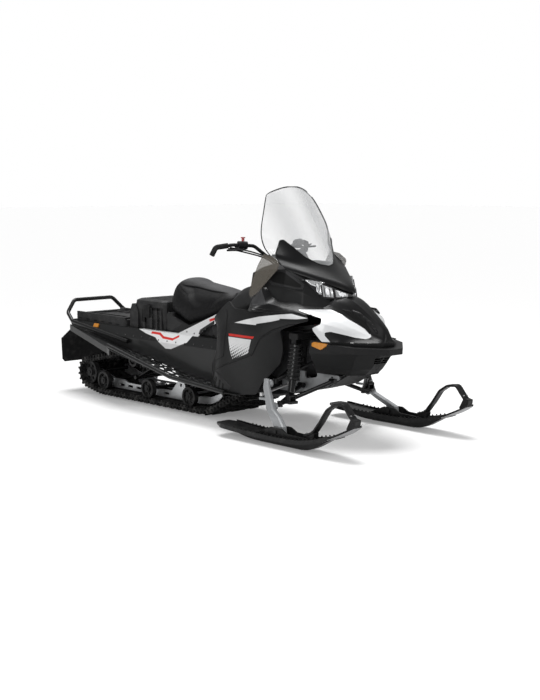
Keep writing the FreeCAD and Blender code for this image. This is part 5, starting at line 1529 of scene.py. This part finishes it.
@dataclass
class Fixings:
    """Rivets on the tunnel and bolts on the side braces."""

    forge: Forge
    tools: Toolbox
    tunnel_rows: tuple[tuple[Flat, ...], ...] = (
        ((-1.28, 0.462), (-0.70, 0.470), (0.10, 0.470)), ((-1.02, 0.300), (0.10, 0.262)))
    brace_rows: tuple[tuple[Flat, ...], ...] = (((-0.205, 0.520), (-0.165, 0.540)),)
    stand: float = 0.0005
    flatness: float = 0.55

    def _heads(self, name: str, under: Surface, rows: Sequence[Sequence[Flat]], side: float, steps: int,
               radius: float, spacing: float, corners: int) -> None:
        """Heads along side-view lines.

        Args:
            name: The piece's name.
            under: What they stand on.
            rows: The lines.
            side: -1 for the right side, 1 for the left.
            steps: Points on each run.
            radius: A head's radius.
            spacing: The step between heads.
            corners: 6 for a bolt, more for a rivet.
        """
        lines = [line for line in (under.from_side(row, side, self.stand, steps) for row in rows)
                 if len(line) > 1]
        if lines:
            self.forge.grown(name, self.tools.fixings, line_curve(lines), {
                "Spacing": spacing, "Radius": radius, "Height": self.flatness * radius, "Corners": corners,
                "Facing": (0.0, side, 0.0)}, "chassis", Slot.COATED)

    def build(self) -> None:
        """Makes the rows on both sides."""
        tunnel = Surface(self.forge.copy_of("tunnel"))
        brace = Surface(self.forge.copy_of("side_braces"))
        for side, label in SIDES:
            self._heads("tunnel_rivets_" + label, tunnel, self.tunnel_rows, side, 2, 0.0055, 0.092, 8)
            self._heads("brace_bolts_" + label, brace, self.brace_rows, side, 1, 0.007, 0.04, 6)


@dataclass
class SkiFixings:
    """Light bolts where the hand loops are fixed to the skis."""

    forge: Forge
    tools: Toolbox
    stations: tuple[float, ...] = (1.215, 1.255, 1.555)
    offset: float = 0.016
    mark: float = 0.002

    def build(self) -> None:
        """Makes the bolts on both skis."""
        for side, label in SIDES:
            loop = Surface(self.forge.copy_of("ski_loop_" + label))
            spots = [spot for x in self.stations for offset in (-self.offset, self.offset)
                     for spot in loop.from_above((x,), side * SKI_MIDDLE + offset, 0.0004)]
            if spots:
                lines = [[(x, y, z), (x + self.mark, y, z)] for x, y, z in spots]
                self.forge.grown("ski_loop_bolts_" + label, self.tools.fixings, line_curve(lines), {
                    "Spacing": 0.01, "Radius": 0.006, "Height": 0.004, "Corners": 6, "Facing": UP},
                    "ski_" + label, Slot.STEEL)


@dataclass(frozen=True)
class Blocks:
    """One kind of block on the belt: its places across, its place in a row and its size."""

    name: str
    across: tuple[float, ...]
    outward: bool
    shift: float
    per_row: int
    thick: float
    width: float
    height: float


@dataclass
class Track:
    """The rubber track: belt, tread blocks, edge blocks and drive teeth laid along the belt line."""

    forge: Forge
    circles: tuple[Point, ...] = ((-1.143, 0.112, 0.066), (-0.060, 0.366, 0.320), (0.335, 0.300, 0.084),
                                  (-0.790, 0.297, 0.048), (-1.306, 0.158, 0.084))
    belt: float = 0.008
    half: float = 0.249
    rounding: float = 0.002
    sink: float = 0.0015
    arc_step: float = 4.0
    rows: int = 56
    blocks: tuple[Blocks, ...] = (
        Blocks("tread_blocks", (-0.165, 0.0, 0.165), True, 0.0, 1, 0.011, 0.084, 0.036),
        Blocks("tread_blocks_between", (-0.084, 0.084), True, 0.5, 1, 0.011, 0.070, 0.036),
        Blocks("track_edge_blocks", (-0.233, 0.233), True, 0.0, 2, 0.016, 0.030, 0.022),
        Blocks("drive_teeth", (-0.0675, 0.0675), False, 0.0, 1, 0.020, 0.028, 0.024),
        Blocks("track_edge_clips", (-0.237, 0.237), False, 0.25, 2, 0.015, 0.016, 0.013))

    def _line(self, grow: float) -> list[Point]:
        """The belt line as places with their outward angle.

        Args:
            grow: How far outside the wheels it runs.

        Returns:
            X, Z and outward angle of each place.
        """
        ends = []
        for (x0, z0, r0), (x1, z1, r1) in round_pairs(self.circles):
            heading = math.atan2(z1 - z0, x1 - x0) - math.asin((r1 - r0) / math.hypot(x1 - x0, z1 - z0))
            ends.append(heading - 0.5 * math.pi)
        made = []
        for i, (x, z, radius) in enumerate(self.circles):
            sweep = (ends[i] - ends[i - 1]) % (2.0 * math.pi)
            steps = max(2, int(math.degrees(sweep) / self.arc_step))
            for j in range(steps + 1):
                angle = ends[i - 1] + sweep * j / steps
                made.append((x + (radius + grow) * math.cos(angle), z + (radius + grow) * math.sin(angle),
                             angle))
        return made

    def _loops(self, kind: Blocks) -> bpy.types.Curve:
        """One closed curve for each place of a kind of block across the belt.

        Args:
            kind: The kind of block.

        Returns:
            The curves.
        """
        grow = self.belt - self.sink if kind.outward else self.sink
        flat = [(x, z) for x, z, _ in self._line(grow)]
        lengths = [math.dist(a, b) for a, b in round_pairs(flat)]
        rest = kind.shift * sum(lengths) / self.rows
        first = 0
        while rest > lengths[first]:
            rest -= lengths[first]
            first += 1
        (x0, z0), (x1, z1) = flat[first], flat[(first + 1) % len(flat)]
        share = rest / lengths[first]
        flat = [(x0 + share * (x1 - x0), z0 + share * (z1 - z0))] + flat[first + 1:] + flat[:first + 1]
        if kind.outward:
            flat = flat[:1] + flat[:0:-1]
        return line_curve([[(x, y, z) for x, z in flat] for y in kind.across], True)

    @staticmethod
    def _tree() -> Tree:
        """Tapered blocks with a wide foot at equal steps along closed curves.

        Returns:
            The tree.
        """
        tree = Tree("blocks_on_a_belt", {"Rows": 56, "Thick": 0.011, "Width": 0.08, "Height": 0.03})
        inputs = tree.start.outputs
        size = tree.vector(inputs["Thick"], inputs["Width"], inputs["Height"])
        block = tree.node("GeometryNodeMeshCube", {}, {
            "Size": size, "Vertices X": 2, "Vertices Y": 4, "Vertices Z": 5})
        x, y, z = tree.parts(tree.node("GeometryNodeInputPosition", {}, {}))
        raised = tree.math("ADD", tree.math("DIVIDE", z, inputs["Height"]), 0.5)
        foot = tree.math("MULTIPLY_ADD", raised, -3.4, 1.75)
        shaft = tree.math("MULTIPLY_ADD", raised, -0.30, 1.0)
        narrow = tree.math("MULTIPLY_ADD", raised, -0.12, 1.0)
        place = tree.vector(tree.math("MULTIPLY", x, tree.math("MAXIMUM", foot, shaft)),
                            tree.math("MULTIPLY", y, narrow), tree.math("MULTIPLY", raised, inputs["Height"]))
        shaped = tree.node("GeometryNodeSetPosition", {}, {"Geometry": block, "Position": place})
        run_x, _, run_z = tree.parts(tree.node("GeometryNodeInputTangent", {}, {}))
        angle = tree.math("ARCTAN2", tree.math("MULTIPLY", run_z, -1.0), run_x)
        turn = tree.node("FunctionNodeEulerToRotation", {}, {0: tree.vector(0.0, angle, 0.0)})
        return tree.end_in_copies(tree.steps("COUNT", "Rows"), shaped, turn)

    def build(self) -> None:
        """Makes the belt and its blocks in place of the CAD track."""
        edge, half = self.half - self.sink, self.half
        rings = []
        for (x0, z0, angle), (x1, z1, _) in zip(self._line(0.0), self._line(self.belt)):
            dx, dz = self.rounding * math.cos(angle), self.rounding * math.sin(angle)
            rings.append([(x0, -edge, z0), (x0, edge, z0), (x0 + dx, half, z0 + dz), (x1 - dx, half, z1 - dz),
                          (x1, edge, z1), (x1, -edge, z1), (x1 - dx, -half, z1 - dz),
                          (x0 + dx, -half, z0 + dz)])
        belt = self.forge.rows("track_belt", rings, Slot.TRACK, True, None, True)
        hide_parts("track")
        tree = self._tree()
        for kind in self.blocks:
            self.forge.grown(kind.name, tree, self._loops(kind), {
                "Rows": self.rows * kind.per_row, "Thick": kind.thick, "Width": kind.width,
                "Height": kind.height},
                "chassis", Slot.TRACK)


@dataclass(frozen=True)
class PhotographView:
    """Where the photograph was taken from, and its measures in picture points."""

    place: Point = (6.238, -5.487, 1.52)
    azimuth: float = 46.93
    pitch: float = 7.53
    lens: float = 65.34
    focal: float = 1270.5
    centre: Flat = (270.0, 350.0)

    def ahead(self) -> Vector:
        """The direction that the camera looks in."""
        turn, dip = math.radians(self.azimuth), math.radians(self.pitch)
        return Vector((-math.sin(turn) * math.cos(dip), math.cos(turn) * math.cos(dip), -math.sin(dip)))

    def toward(self, spot: Flat) -> Vector:
        """The direction of a spot of the photograph.

        Args:
            spot: Its column and row.

        Returns:
            The direction from the camera.
        """
        turn, ahead = math.radians(self.azimuth), self.ahead()
        right = Vector((math.cos(turn), math.sin(turn), 0.0))
        column, row = spot[0] - self.centre[0], spot[1] - self.centre[1]
        return (ahead * self.focal + right * column - right.cross(ahead) * row).normalized()


class Trim(Enum):
    """The plates' own finishes."""

    GREY = "pod_grey"
    RIM = "pod_rim"
    # Painted shade: the near-black finish of insets in gaps, slots and recesses.
    DARK = "deep_black"
    BRIGHT = "lamp_reflector"


@dataclass(frozen=True)
class Plate:
    """One plate or inset, with its outline in the photograph's columns and rows."""

    name: str
    under: tuple[str, ...]
    lift: float
    slot: Slot
    trim: Optional[Trim]
    bevel: float
    outline: tuple[Flat, ...]


def plate_table() -> list[Plate]:
    """Every plate, in the order of making.

    Returns:
        The plates.
    """
    shell = ("hood", "headlamp_pod", "console", "headlamp", "windshield_cowl", "hood_panels")
    panels, box = ("side_panels",), ("cargo_box", "cargo_lid")
    base = ("seat_base", "tunnel", "side_braces", "console")
    cargo = ("cargo_rack", "cargo_box", "cargo_lid", "box_latches", "tunnel")
    plates = [
        Plate("hood_ridge", shell, 0.0060, Slot.GLOSS, None, 0.8, (
            (352.0, 309.4), (360.4, 312.6), (372.4, 322.6), (378.8, 333.0), (376.4, 334.4), (369.4, 324.4),
            (358.6, 315.0), (351.0, 311.6))),
        Plate("intake_frame", shell, 0.0060, Slot.BODY, Trim.RIM, 0.4, (
            (270.8, 268.2), (285.8, 269.8), (305.0, 285.0), (303.4, 290.0), (295.6, 289.8), (271.6, 284.8),
            (265.0, 276.4))),
        Plate("intake_mesh", shell, 0.0072, Slot.BODY, Trim.DARK, 0.2, (
            (272.8, 270.6), (284.6, 272.2), (301.8, 285.6), (301.0, 288.0), (296.0, 287.6), (273.0, 282.4),
            (268.2, 276.4))),
        Plate("pod_side_panel", shell, 0.004, Slot.BODY, Trim.GREY, 0.5, (
            (249.6, 296.6), (261.0, 288.4), (264.2, 297.0), (266.8, 304.6), (252.6, 306.2))),
        Plate("pod_gap", shell, 0.0016, Slot.BODY, Trim.DARK, 0.3, (
            (247.6, 305.6), (252.0, 307.4), (270.8, 309.8), (300.3, 312.6), (300.3, 313.5), (270.6, 310.9),
            (251.8, 308.4), (247.4, 306.8))),
        Plate("lamp_outer", shell, 0.003, Slot.LAMP, Trim.BRIGHT, 0.5, (
            (304.5, 279.6), (308.8, 278.8), (325.5, 282.8), (319.2, 285.9), (316.0, 287.0), (310.8, 284.8))),
        Plate("hood_gutter", shell, 0.0022, Slot.GLOSS, Trim.DARK, 0.5, (
            (340.6, 308.6), (349.7, 310.6), (365.5, 321.8), (371.4, 331.5), (369.7, 334.6), (361.3, 325.2),
            (348.7, 315.4))),
        Plate("toe_plate", panels, 0.0035, Slot.BODY, Trim.RIM, 0.6, (
            (207.6, 372.2), (216.6, 370.8), (231.0, 387.2), (229.4, 391.2), (206.8, 387.0)))]
    toes = (((212.2, 374.8), (210.2, 385.2)), ((215.8, 375.6), (214.2, 386.4)),
            ((219.2, 378.8), (218.0, 387.6)),
            ((222.4, 382.4), (221.8, 388.6)))
    for number, ((x0, y0), (x1, y1)) in enumerate(toes):
        plates.append(Plate(f"toe_slot_{number}", panels, 0.0048, Slot.BODY, Trim.DARK, 0.2, (
            (x0, y0), (x0 + 1.9, y0 + 1.4), (x1 + 1.9, y1 + 0.4), (x1, y1))))
    plates += [
        Plate("base_panel_rear", base, 0.004, Slot.BODY, Trim.RIM, 0.7, (
            (168.6, 311.4), (184.2, 323.4), (172.8, 331.0), (164.6, 329.4), (165.4, 315.6))),
        Plate("base_panel_front", base, 0.004, Slot.BODY, Trim.RIM, 0.7, (
            (214.6, 320.0), (214.0, 337.6), (198.2, 334.4), (200.0, 329.6)))]
    round_hole = [(math.cos(a), math.sin(a)) for a in (2.0 * math.pi * k / 12 for k in range(12))]
    for number in range(6):
        x, y = 80.5 + 7.4 * number, 317.6 + 1.35 * number
        plates.append(Plate(f"rack_slot_{number}", cargo, 0.0010, Slot.RACK, Trim.DARK, 0.3, tuple(
            (x + 2.3 * dx, y + 0.9 * dy + 0.18 * dx * 2.3) for dx, dy in round_hole)))
    plates += [
        Plate("box_recess", box, 0.0012, Slot.RACK, Trim.DARK, 0.3, (
            (141.8, 308.6), (146.8, 308.8), (146.6, 322.6), (141.8, 321.4))),
        Plate("box_grip", box, 0.0012, Slot.RACK, Trim.DARK, 0.3, (
            (151.6, 307.6), (160.6, 308.4), (160.4, 311.2), (151.6, 310.4)))]
    for number in range(3):
        y = 314.0 + 3.6 * number
        plates.append(Plate(f"box_rib_{number}", ("cargo_box",), 0.0050, Slot.RACK, None, 0.5, (
            (151.6, y), (160.6, y + 0.6), (160.6, y + 2.2), (151.6, y + 1.6))))
    return plates


@dataclass
class Plates:
    """Raised plates and dark insets of painted shade, laid on the machine from their outlines in the
    photograph.
    """

    forge: Forge
    view: PhotographView
    step: float = 0.9
    finest: float = 0.35
    rim_gap: float = 0.4
    sink: float = 0.0004
    foot: float = 0.0012
    longest: float = 0.030

    @staticmethod
    def _edge_distance(spot: Flat, outline: Sequence[Flat]) -> float:
        """How far a spot is from an outline.

        Args:
            spot: Its column and row.
            outline: The outline's corners.

        Returns:
            The distance in picture points.
        """
        best = math.inf
        for (x0, y0), (x1, y1) in round_pairs(outline):
            dx, dy = x1 - x0, y1 - y0
            share = max(0.0, min(1.0, ((spot[0] - x0) * dx + (spot[1] - y0) * dy) / (dx * dx + dy * dy)))
            best = min(best, math.hypot(spot[0] - x0 - share * dx, spot[1] - y0 - share * dy))
        return best

    @staticmethod
    def _within(spot: Flat, outline: Sequence[Flat]) -> bool:
        """Whether a spot is inside an outline.

        Args:
            spot: Its column and row.
            outline: The outline's corners.

        Returns:
            Whether it is inside.
        """
        inside = False
        for (x0, y0), (x1, y1) in round_pairs(outline):
            if (y0 > spot[1]) != (y1 > spot[1]) and spot[0] < x0 + (spot[1] - y0) * (x1 - x0) / (y1 - y0):
                inside = not inside
        return inside

    def _spots(self, plate: Plate) -> tuple[list[Flat], int]:
        """The places on a plate's outline, then those inside it.

        Args:
            plate: The plate.

        Returns:
            The places, and how many are on the outline.
        """
        rim: list[Flat] = []
        for (x0, y0), (x1, y1) in round_pairs(plate.outline):
            steps = max(1, round(math.hypot(x1 - x0, y1 - y0) / self.step))
            rim += [(x0 + (x1 - x0) * i / steps, y0 + (y1 - y0) * i / steps) for i in range(steps)]
        (left, right), (low, high) = ((min(values), max(values)) for values in zip(*rim))
        fine = min(self.step, max(self.finest, plate.bevel))
        spots = list(rim)
        for i in range(int((right - left) / fine) + 1):
            for j in range(int((high - low) / fine) + 1):
                spot = (left + (i + 0.5) * fine, low + (j + 0.5) * fine)
                if (self._within(spot, plate.outline)
                        and self._edge_distance(spot, plate.outline) > self.rim_gap * fine):
                    spots.append(spot)
        return spots, len(rim)

    def _solid(self, faces: Sequence[Sequence[int]], tops: Sequence[Vector], feet: Sequence[Vector],
               mirror: float) -> bmesh.types.BMesh:
        """A closed plate between its upper and lower places.

        Args:
            faces: The faces, as numbers of places.
            tops: The upper places.
            feet: The lower places.
            mirror: 1 for the side that the photograph shows, -1 for the other.

        Returns:
            The shape.
        """
        made = bmesh.new()
        upper, lower = ({i: made.verts.new((places[i].x, mirror * places[i].y, places[i].z))
                         for face in faces for i in face} for places in (tops, feet))
        borders = set()
        for face in faces:
            made.faces.new([upper[i] for i in face])
            made.faces.new([lower[i] for i in reversed(face)])
            borders.update(zip(face, [*face[1:], face[0]]))
        for a, b in sorted(borders):
            if (b, a) not in borders:
                made.faces.new((upper[b], upper[a], lower[a], lower[b]))
        bmesh.ops.delete(made, geom=[v for v in made.verts if not v.link_faces], context="VERTS")
        bmesh.ops.recalc_face_normals(made, faces=made.faces)
        set_smooth(made, CREASE)
        return made

    def _lay(self, plate: Plate, material: Optional[bpy.types.Material]) -> None:
        """Lays one plate, and its mirror image on the other side.

        Args:
            plate: The plate.
            material: A material of its own instead of its slot's.
        """
        shape = bmesh.new()
        for node in plate.under:
            shape.from_mesh(frame["nodes"][node].data)
        under = Surface(mesh_of(shape, "under"))
        spots, count = self._spots(plate)
        ring = [(i, (i + 1) % count) for i in range(count)]
        flat, _, faces, *_ = delaunay_2d_cdt([Vector(p) for p in spots], ring, [], 1, 1e-4)
        tops, feet = [], []
        for spot in flat:
            toward = self.view.toward(tuple(spot))
            share = min(1.0, self._edge_distance(tuple(spot), plate.outline) / plate.bevel)
            tops.append(under.hit(self.view.place, toward, plate.lift * share - self.sink))
            feet.append(under.hit(self.view.place, toward, -self.foot))
        keep = [f for f in faces if all(tops[i] is not None for i in f)
                and max((tops[i] - tops[j]).length for i in f for j in f) < self.longest]
        if keep:
            for mirror, (_, label) in zip((1.0, -1.0), SIDES):
                mesh = mesh_of(self._solid(keep, tops, feet, mirror), plate.name)
                self.forge.piece(f"{plate.name}_{label}", mesh, "chassis", plate.slot, material)

    def build(self) -> None:
        """Lays every plate."""
        finishes = {
            Trim.GREY: Plastic((0.044, 0.044, 0.046), 0.45, 900.0, 0.0003),
            Trim.RIM: Plastic((0.022, 0.022, 0.023), 0.42, 900.0, 0.0003),
            # Painted shade for the insets in gaps, slots and recesses.
            Trim.DARK: Plastic((0.003, 0.003, 0.003), 0.5, 900.0, 0.0003, shine=0.15),
            Trim.BRIGHT: Metal((0.80, 0.81, 0.82), 0.22)}
        materials = {trim: finish.make(trim.value) for trim, finish in finishes.items()}
        for plate in plate_table():
            self._lay(plate, materials.get(plate.trim))


@dataclass
class SkiShells:
    """The moulded skis with their keels run out smoothly into the tips."""

    forge: Forge
    finish: bpy.types.Material
    start: float = 1.20
    stop: float = 1.441
    keel_half: float = 0.034
    beside_keel: float = 0.006
    skin: float = 0.0015
    most_fade: float = 0.96

    def build(self) -> None:
        """Replaces both skis by skins whose keel ends fade out."""
        for side, label in SIDES:
            mesh = self.forge.copy_of("ski_" + label, CREASE)
            under = Surface(mesh)
            middle = side * SKI_MIDDLE
            for vertex in mesh.vertices:
                x, y, z = vertex.co
                if x < self.start or x > self.stop or abs(y - middle) > self.keel_half:
                    continue
                roof = under.hit((x, middle - self.keel_half - self.beside_keel, -0.5), UP, 0.0)
                if roof is None or z > roof.z - self.skin:
                    continue
                share = eased((x - self.start) / (self.stop - self.start))
                vertex.co.z = z + self.most_fade * share * (roof.z - z)
            skin = self.forge.piece("ski_shell_" + label, mesh, "ski_" + label, Slot.SKI, self.finish)
            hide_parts("ski_" + label)


@dataclass
class PanelRidges:
    """Low moulded ridges along the side panels' pressed lines."""

    forge: Forge
    tools: Toolbox
    lines: tuple[tuple[Flat, ...], ...]
    radius: float = 0.0042
    sink: float = 0.0012
    longest: float = 0.06

    def build(self) -> None:
        """Lays the ridges on both panels."""
        panel = Surface(self.forge.copy_of("side_panels"))
        for side, label in SIDES:
            kept = []
            for line in self.lines:
                row = panel.from_side(line, side, -self.sink, 10)
                run = row[:1]
                for place in row[1:]:
                    if math.dist(run[-1], place) < self.longest:
                        run.append(place)
                if len(run) > 2:
                    kept.append(run)
            self.forge.grown("panel_ridges_" + label, self.tools.tube, line_curve(kept),
                             {"Radius": self.radius, "Step": 0.012}, "chassis", Slot.BODY)


@dataclass
class SkiGrips:
    """Moulded studs along the skis' edges and low ribs on their decks."""

    forge: Forge
    tools: Toolbox
    stations: tuple[float, ...] = (0.58, 0.66, 0.74, 0.84, 0.94, 1.04, 1.14, 1.24, 1.34, 1.42)
    stud_offset: float = 0.076
    rib_offset: float = 0.050

    def build(self) -> None:
        """Makes the studs and ribs on both skis."""
        for side, label in SIDES:
            deck = Surface(self.forge.copy_of("ski_" + label))
            middle, body = side * SKI_MIDDLE, "ski_" + label
            studs = [deck.from_above(self.stations[1:], middle + offset, 0.0006)
                     for offset in (-self.stud_offset, self.stud_offset)]
            ribs = [deck.from_above(group, middle + offset, 0.0003)
                    for offset in (-self.rib_offset, self.rib_offset)
                    for group in (self.stations[:3], self.stations[6:])]
            self.forge.grown("ski_studs_" + label, self.tools.fixings,
                             line_curve([r for r in studs if len(r) > 1]), {
                "Spacing": 0.032, "Radius": 0.0055, "Height": 0.006, "Corners": 6, "Facing": UP}, body,
                Slot.SKI)
            self.forge.grown("ski_ribs_" + label, self.tools.tube,
                             line_curve([r for r in ribs if len(r) > 1]),
                             {"Radius": 0.0032, "Step": 0.03}, body, Slot.SKI)


@dataclass
class BarCables:
    """The cables from the bar's controls to its riser, held at both ends."""

    forge: Forge
    tools: Toolbox
    radius: float = 0.0045
    lines: tuple[tuple[Point, ...], ...] = (
        ((0.372, 0.352, 1.116), (0.388, 0.300, 1.104), (0.414, 0.220, 1.084), (0.446, 0.120, 1.056),
         (0.468, 0.050, 1.014), (0.470, 0.024, 0.972)),
        ((0.384, 0.350, 1.122), (0.402, 0.290, 1.112), (0.430, 0.200, 1.092), (0.460, 0.110, 1.058),
         (0.478, 0.040, 1.016), (0.478, 0.018, 0.974)))

    def build(self) -> None:
        """Lays the cables on both sides."""
        for side, label in SIDES:
            bent = line_curve([[(x, side * y, z) for x, y, z in line] for line in self.lines], False, True)
            self.forge.grown("bar_cables_" + label, self.tools.tube, bent,
                             {"Radius": self.radius, "Step": 0.012}, "steering", Slot.BLACK)


@dataclass(frozen=True)
class SoftLight:
    """One square area light: where it stands, what it faces, its side and its power in watts."""

    name: str
    place: Point
    target: Point
    size: float
    power: float


@dataclass
class Studio:
    """Floor, light, background and the camera at the photograph's angle."""

    view: PhotographView
    floor_half: float = 60.0
    floor_seen: float = 0.985
    floor_bounce: float = 0.45
    floor_glow: float = 0.2
    world_light: float = 0.36
    sun_light: float = 2.1
    sun_spread: float = 32.0
    sun_aim: Point = (0.30, -0.16, -1.0)
    lights: tuple[SoftLight, ...] = (
        SoftLight("top_light", (-0.4, 0.3, 3.6), (0.0, 0.0, 0.5), 3.0, 44.0),
        SoftLight("side_light", (2.5, -5.0, 2.6), (0.2, 0.0, 0.5), 2.0, 82.0),
        SoftLight("front_light", (5.5, 1.0, 2.8), (0.6, 0.0, 0.6), 2.0, 38.0))

    @staticmethod
    def _aimed(name: str, data: bpy.types.ID, direction: Vector) -> bpy.types.Object:
        """A lamp or camera that looks in a direction.

        Args:
            name: Its name.
            data: The lamp or camera.
            direction: The direction.

        Returns:
            The object.
        """
        made = placed(name, data)
        made.rotation_euler = direction.to_track_quat("-Z", "Y").to_euler()
        return made

    def _floor(self) -> None:
        """A pale floor that keeps the shadow."""
        mesh = bpy.data.meshes.new("studio_floor")
        half = self.floor_half
        corners = [(-half, -half, 0.0), (half, -half, 0.0), (half, half, 0.0), (-half, half, 0.0)]
        mesh.from_pydata(corners, [], [(0, 1, 2, 3)])
        board = Board("studio_floor")
        seen = board.seen_by("Camera", "Glossy", "Transmission")
        colour = board.mix(seen, (self.floor_bounce,) * 3, (self.floor_seen,) * 3)
        matte = board.node("ShaderNodeBsdfDiffuse", {}, {"Color": colour})
        glow = board.node("ShaderNodeEmission", {}, {"Color": (1.0, 1.0, 1.0), "Strength": 1.0})
        mesh.materials.append(board.close(
            board.node("ShaderNodeMixShader", {}, {0: seen * self.floor_glow, 1: matte, 2: glow})))
        floor = placed("studio_floor", mesh)

    def _world(self) -> None:
        """A white surround that lights softly."""
        board = Board("studio", True)
        strength = board.seen_by("Camera", "Transmission") * (1.0 - self.world_light) + self.world_light
        light = board.node("ShaderNodeBackground", {}, {"Color": (1.0, 1.0, 1.0), "Strength": strength})
        bpy.context.scene.world = board.close(light, "ShaderNodeOutputWorld")

    def build(self) -> None:
        """Sets the stage."""
        self._floor()
        self._world()
        sun = bpy.data.lights.new("sky_light", "SUN")
        sun.energy = self.sun_light
        sun.angle = math.radians(self.sun_spread)
        self._aimed("sky_light", sun, Vector(self.sun_aim))
        for light in self.lights:
            data = bpy.data.lights.new(light.name, "AREA")
            data.shape = "SQUARE"
            data.size = light.size
            data.energy = light.power
            self._aimed(light.name, data, Vector(light.target) - Vector(light.place)).location = light.place
        data = bpy.data.cameras.new("photograph_view")
        data.lens = self.view.lens
        data.sensor_width = 36.0
        data.clip_end = 200.0
        camera = self._aimed("photograph_view", data, self.view.ahead())
        camera.location = self.view.place
        bpy.context.scene.camera = camera
        bpy.context.scene.view_settings.view_transform = "Standard"


def own_materials() -> dict[str, bpy.types.Material]:
    """The materials of the CAD nodes that don't wear their slot's.

    Returns:
        A material for each such node.
    """
    panels = SidePanelDecals(
        swoosh=(((0.448, 0.668), (0.650, 0.670), (0.664, 0.721), (0.556, 0.696)),
                ((0.648, 0.670), (0.764, 0.698), (0.829, 0.710), (0.829, 0.745), (0.662, 0.721)),
                ((0.827, 0.709), (0.943, 0.724), (1.012, 0.726), (1.016, 0.735), (0.903, 0.753),
                 (0.827, 0.745))),
        shield=((0.398, 0.578), (0.616, 0.579), (0.583, 0.493), (0.439, 0.440), (0.414, 0.505)),
        bar=((0.398, 0.598), (0.640, 0.600), (0.630, 0.586), (0.402, 0.583)),
        creases=PRESSED_LINES,
        slots=(((0.262, 0.325), (0.215, 0.262)), ((0.285, 0.318), (0.243, 0.260)),
               ((0.306, 0.306), (0.272, 0.258)), ((0.322, 0.290), (0.300, 0.258))))
    tunnel = PatchDecals(
        base=TUNNEL_GREY,
        patches=(((-0.74, 0.532), (-0.12, 0.532), (-0.159, 0.478), (-0.495, 0.484), (-0.602, 0.499)),
                 ((-0.499, 0.485), (-0.157, 0.479), (-0.314, 0.422), (-0.371, 0.420))),
        red=((-0.545, 0.511), (-0.460, 0.510), (-0.412, 0.490), (-0.311, 0.486), (-0.262, 0.509)),
        red_width=0.015)
    brace = PatchDecals(base=WHITE_INK, patches=(), red=((0.050, 0.640), (0.25, 0.700)), red_width=0.016)
    castings = TwoTone(Plastic((0.42, 0.43, 0.44), 0.5, 700.0, 0.0003, 0.12, metal=0.3),
                       (0.016, 0.016, 0.0165),
                       UP, 0.385, 0.006)
    return {"side_panels": panels.make("side_panel_paint"), "tunnel": tunnel.make("tunnel_paint_decal"),
            "side_braces": brace.make("brace_paint"),
            "track_axles": Plastic((0.008, 0.008, 0.0083), 0.45, 700.0, 0.0003, 0.15).make("axle_black"),
            "front_frame": castings.make("front_frame_castings")}


def main() -> None:
    """Builds every sub-assembly in order."""
    logging.basicConfig(level=logging.INFO, format="%(name)s: %(message)s")
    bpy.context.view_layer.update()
    view = PhotographView()
    Studio(view).build()
    forge = Forge(material_set())
    tools = Toolbox()
    ski_sole = TwoTone(SKI_PLASTIC, (0.42, 0.42, 0.43), (1.0, 0.0, 0.0), 1.40, 0.02,
                       True).make("ski_light_sole")
    CarriedNodes(forge, own_materials()).dress()
    Track(forge).build()
    HoodShell(forge).build()
    Saddle(forge, tools).build()
    Screen(forge, tools).build()
    HeadLamp(forge).build()
    Fixings(forge, tools).build()
    SkiFixings(forge, tools).build()
    SkiShells(forge, ski_sole).build()
    SkiGrips(forge, tools).build()
    PanelRidges(forge, tools, PRESSED_LINES).build()
    BarCables(forge, tools).build()
    Plates(forge, view).build()


if __name__ == "__main__":
    main()
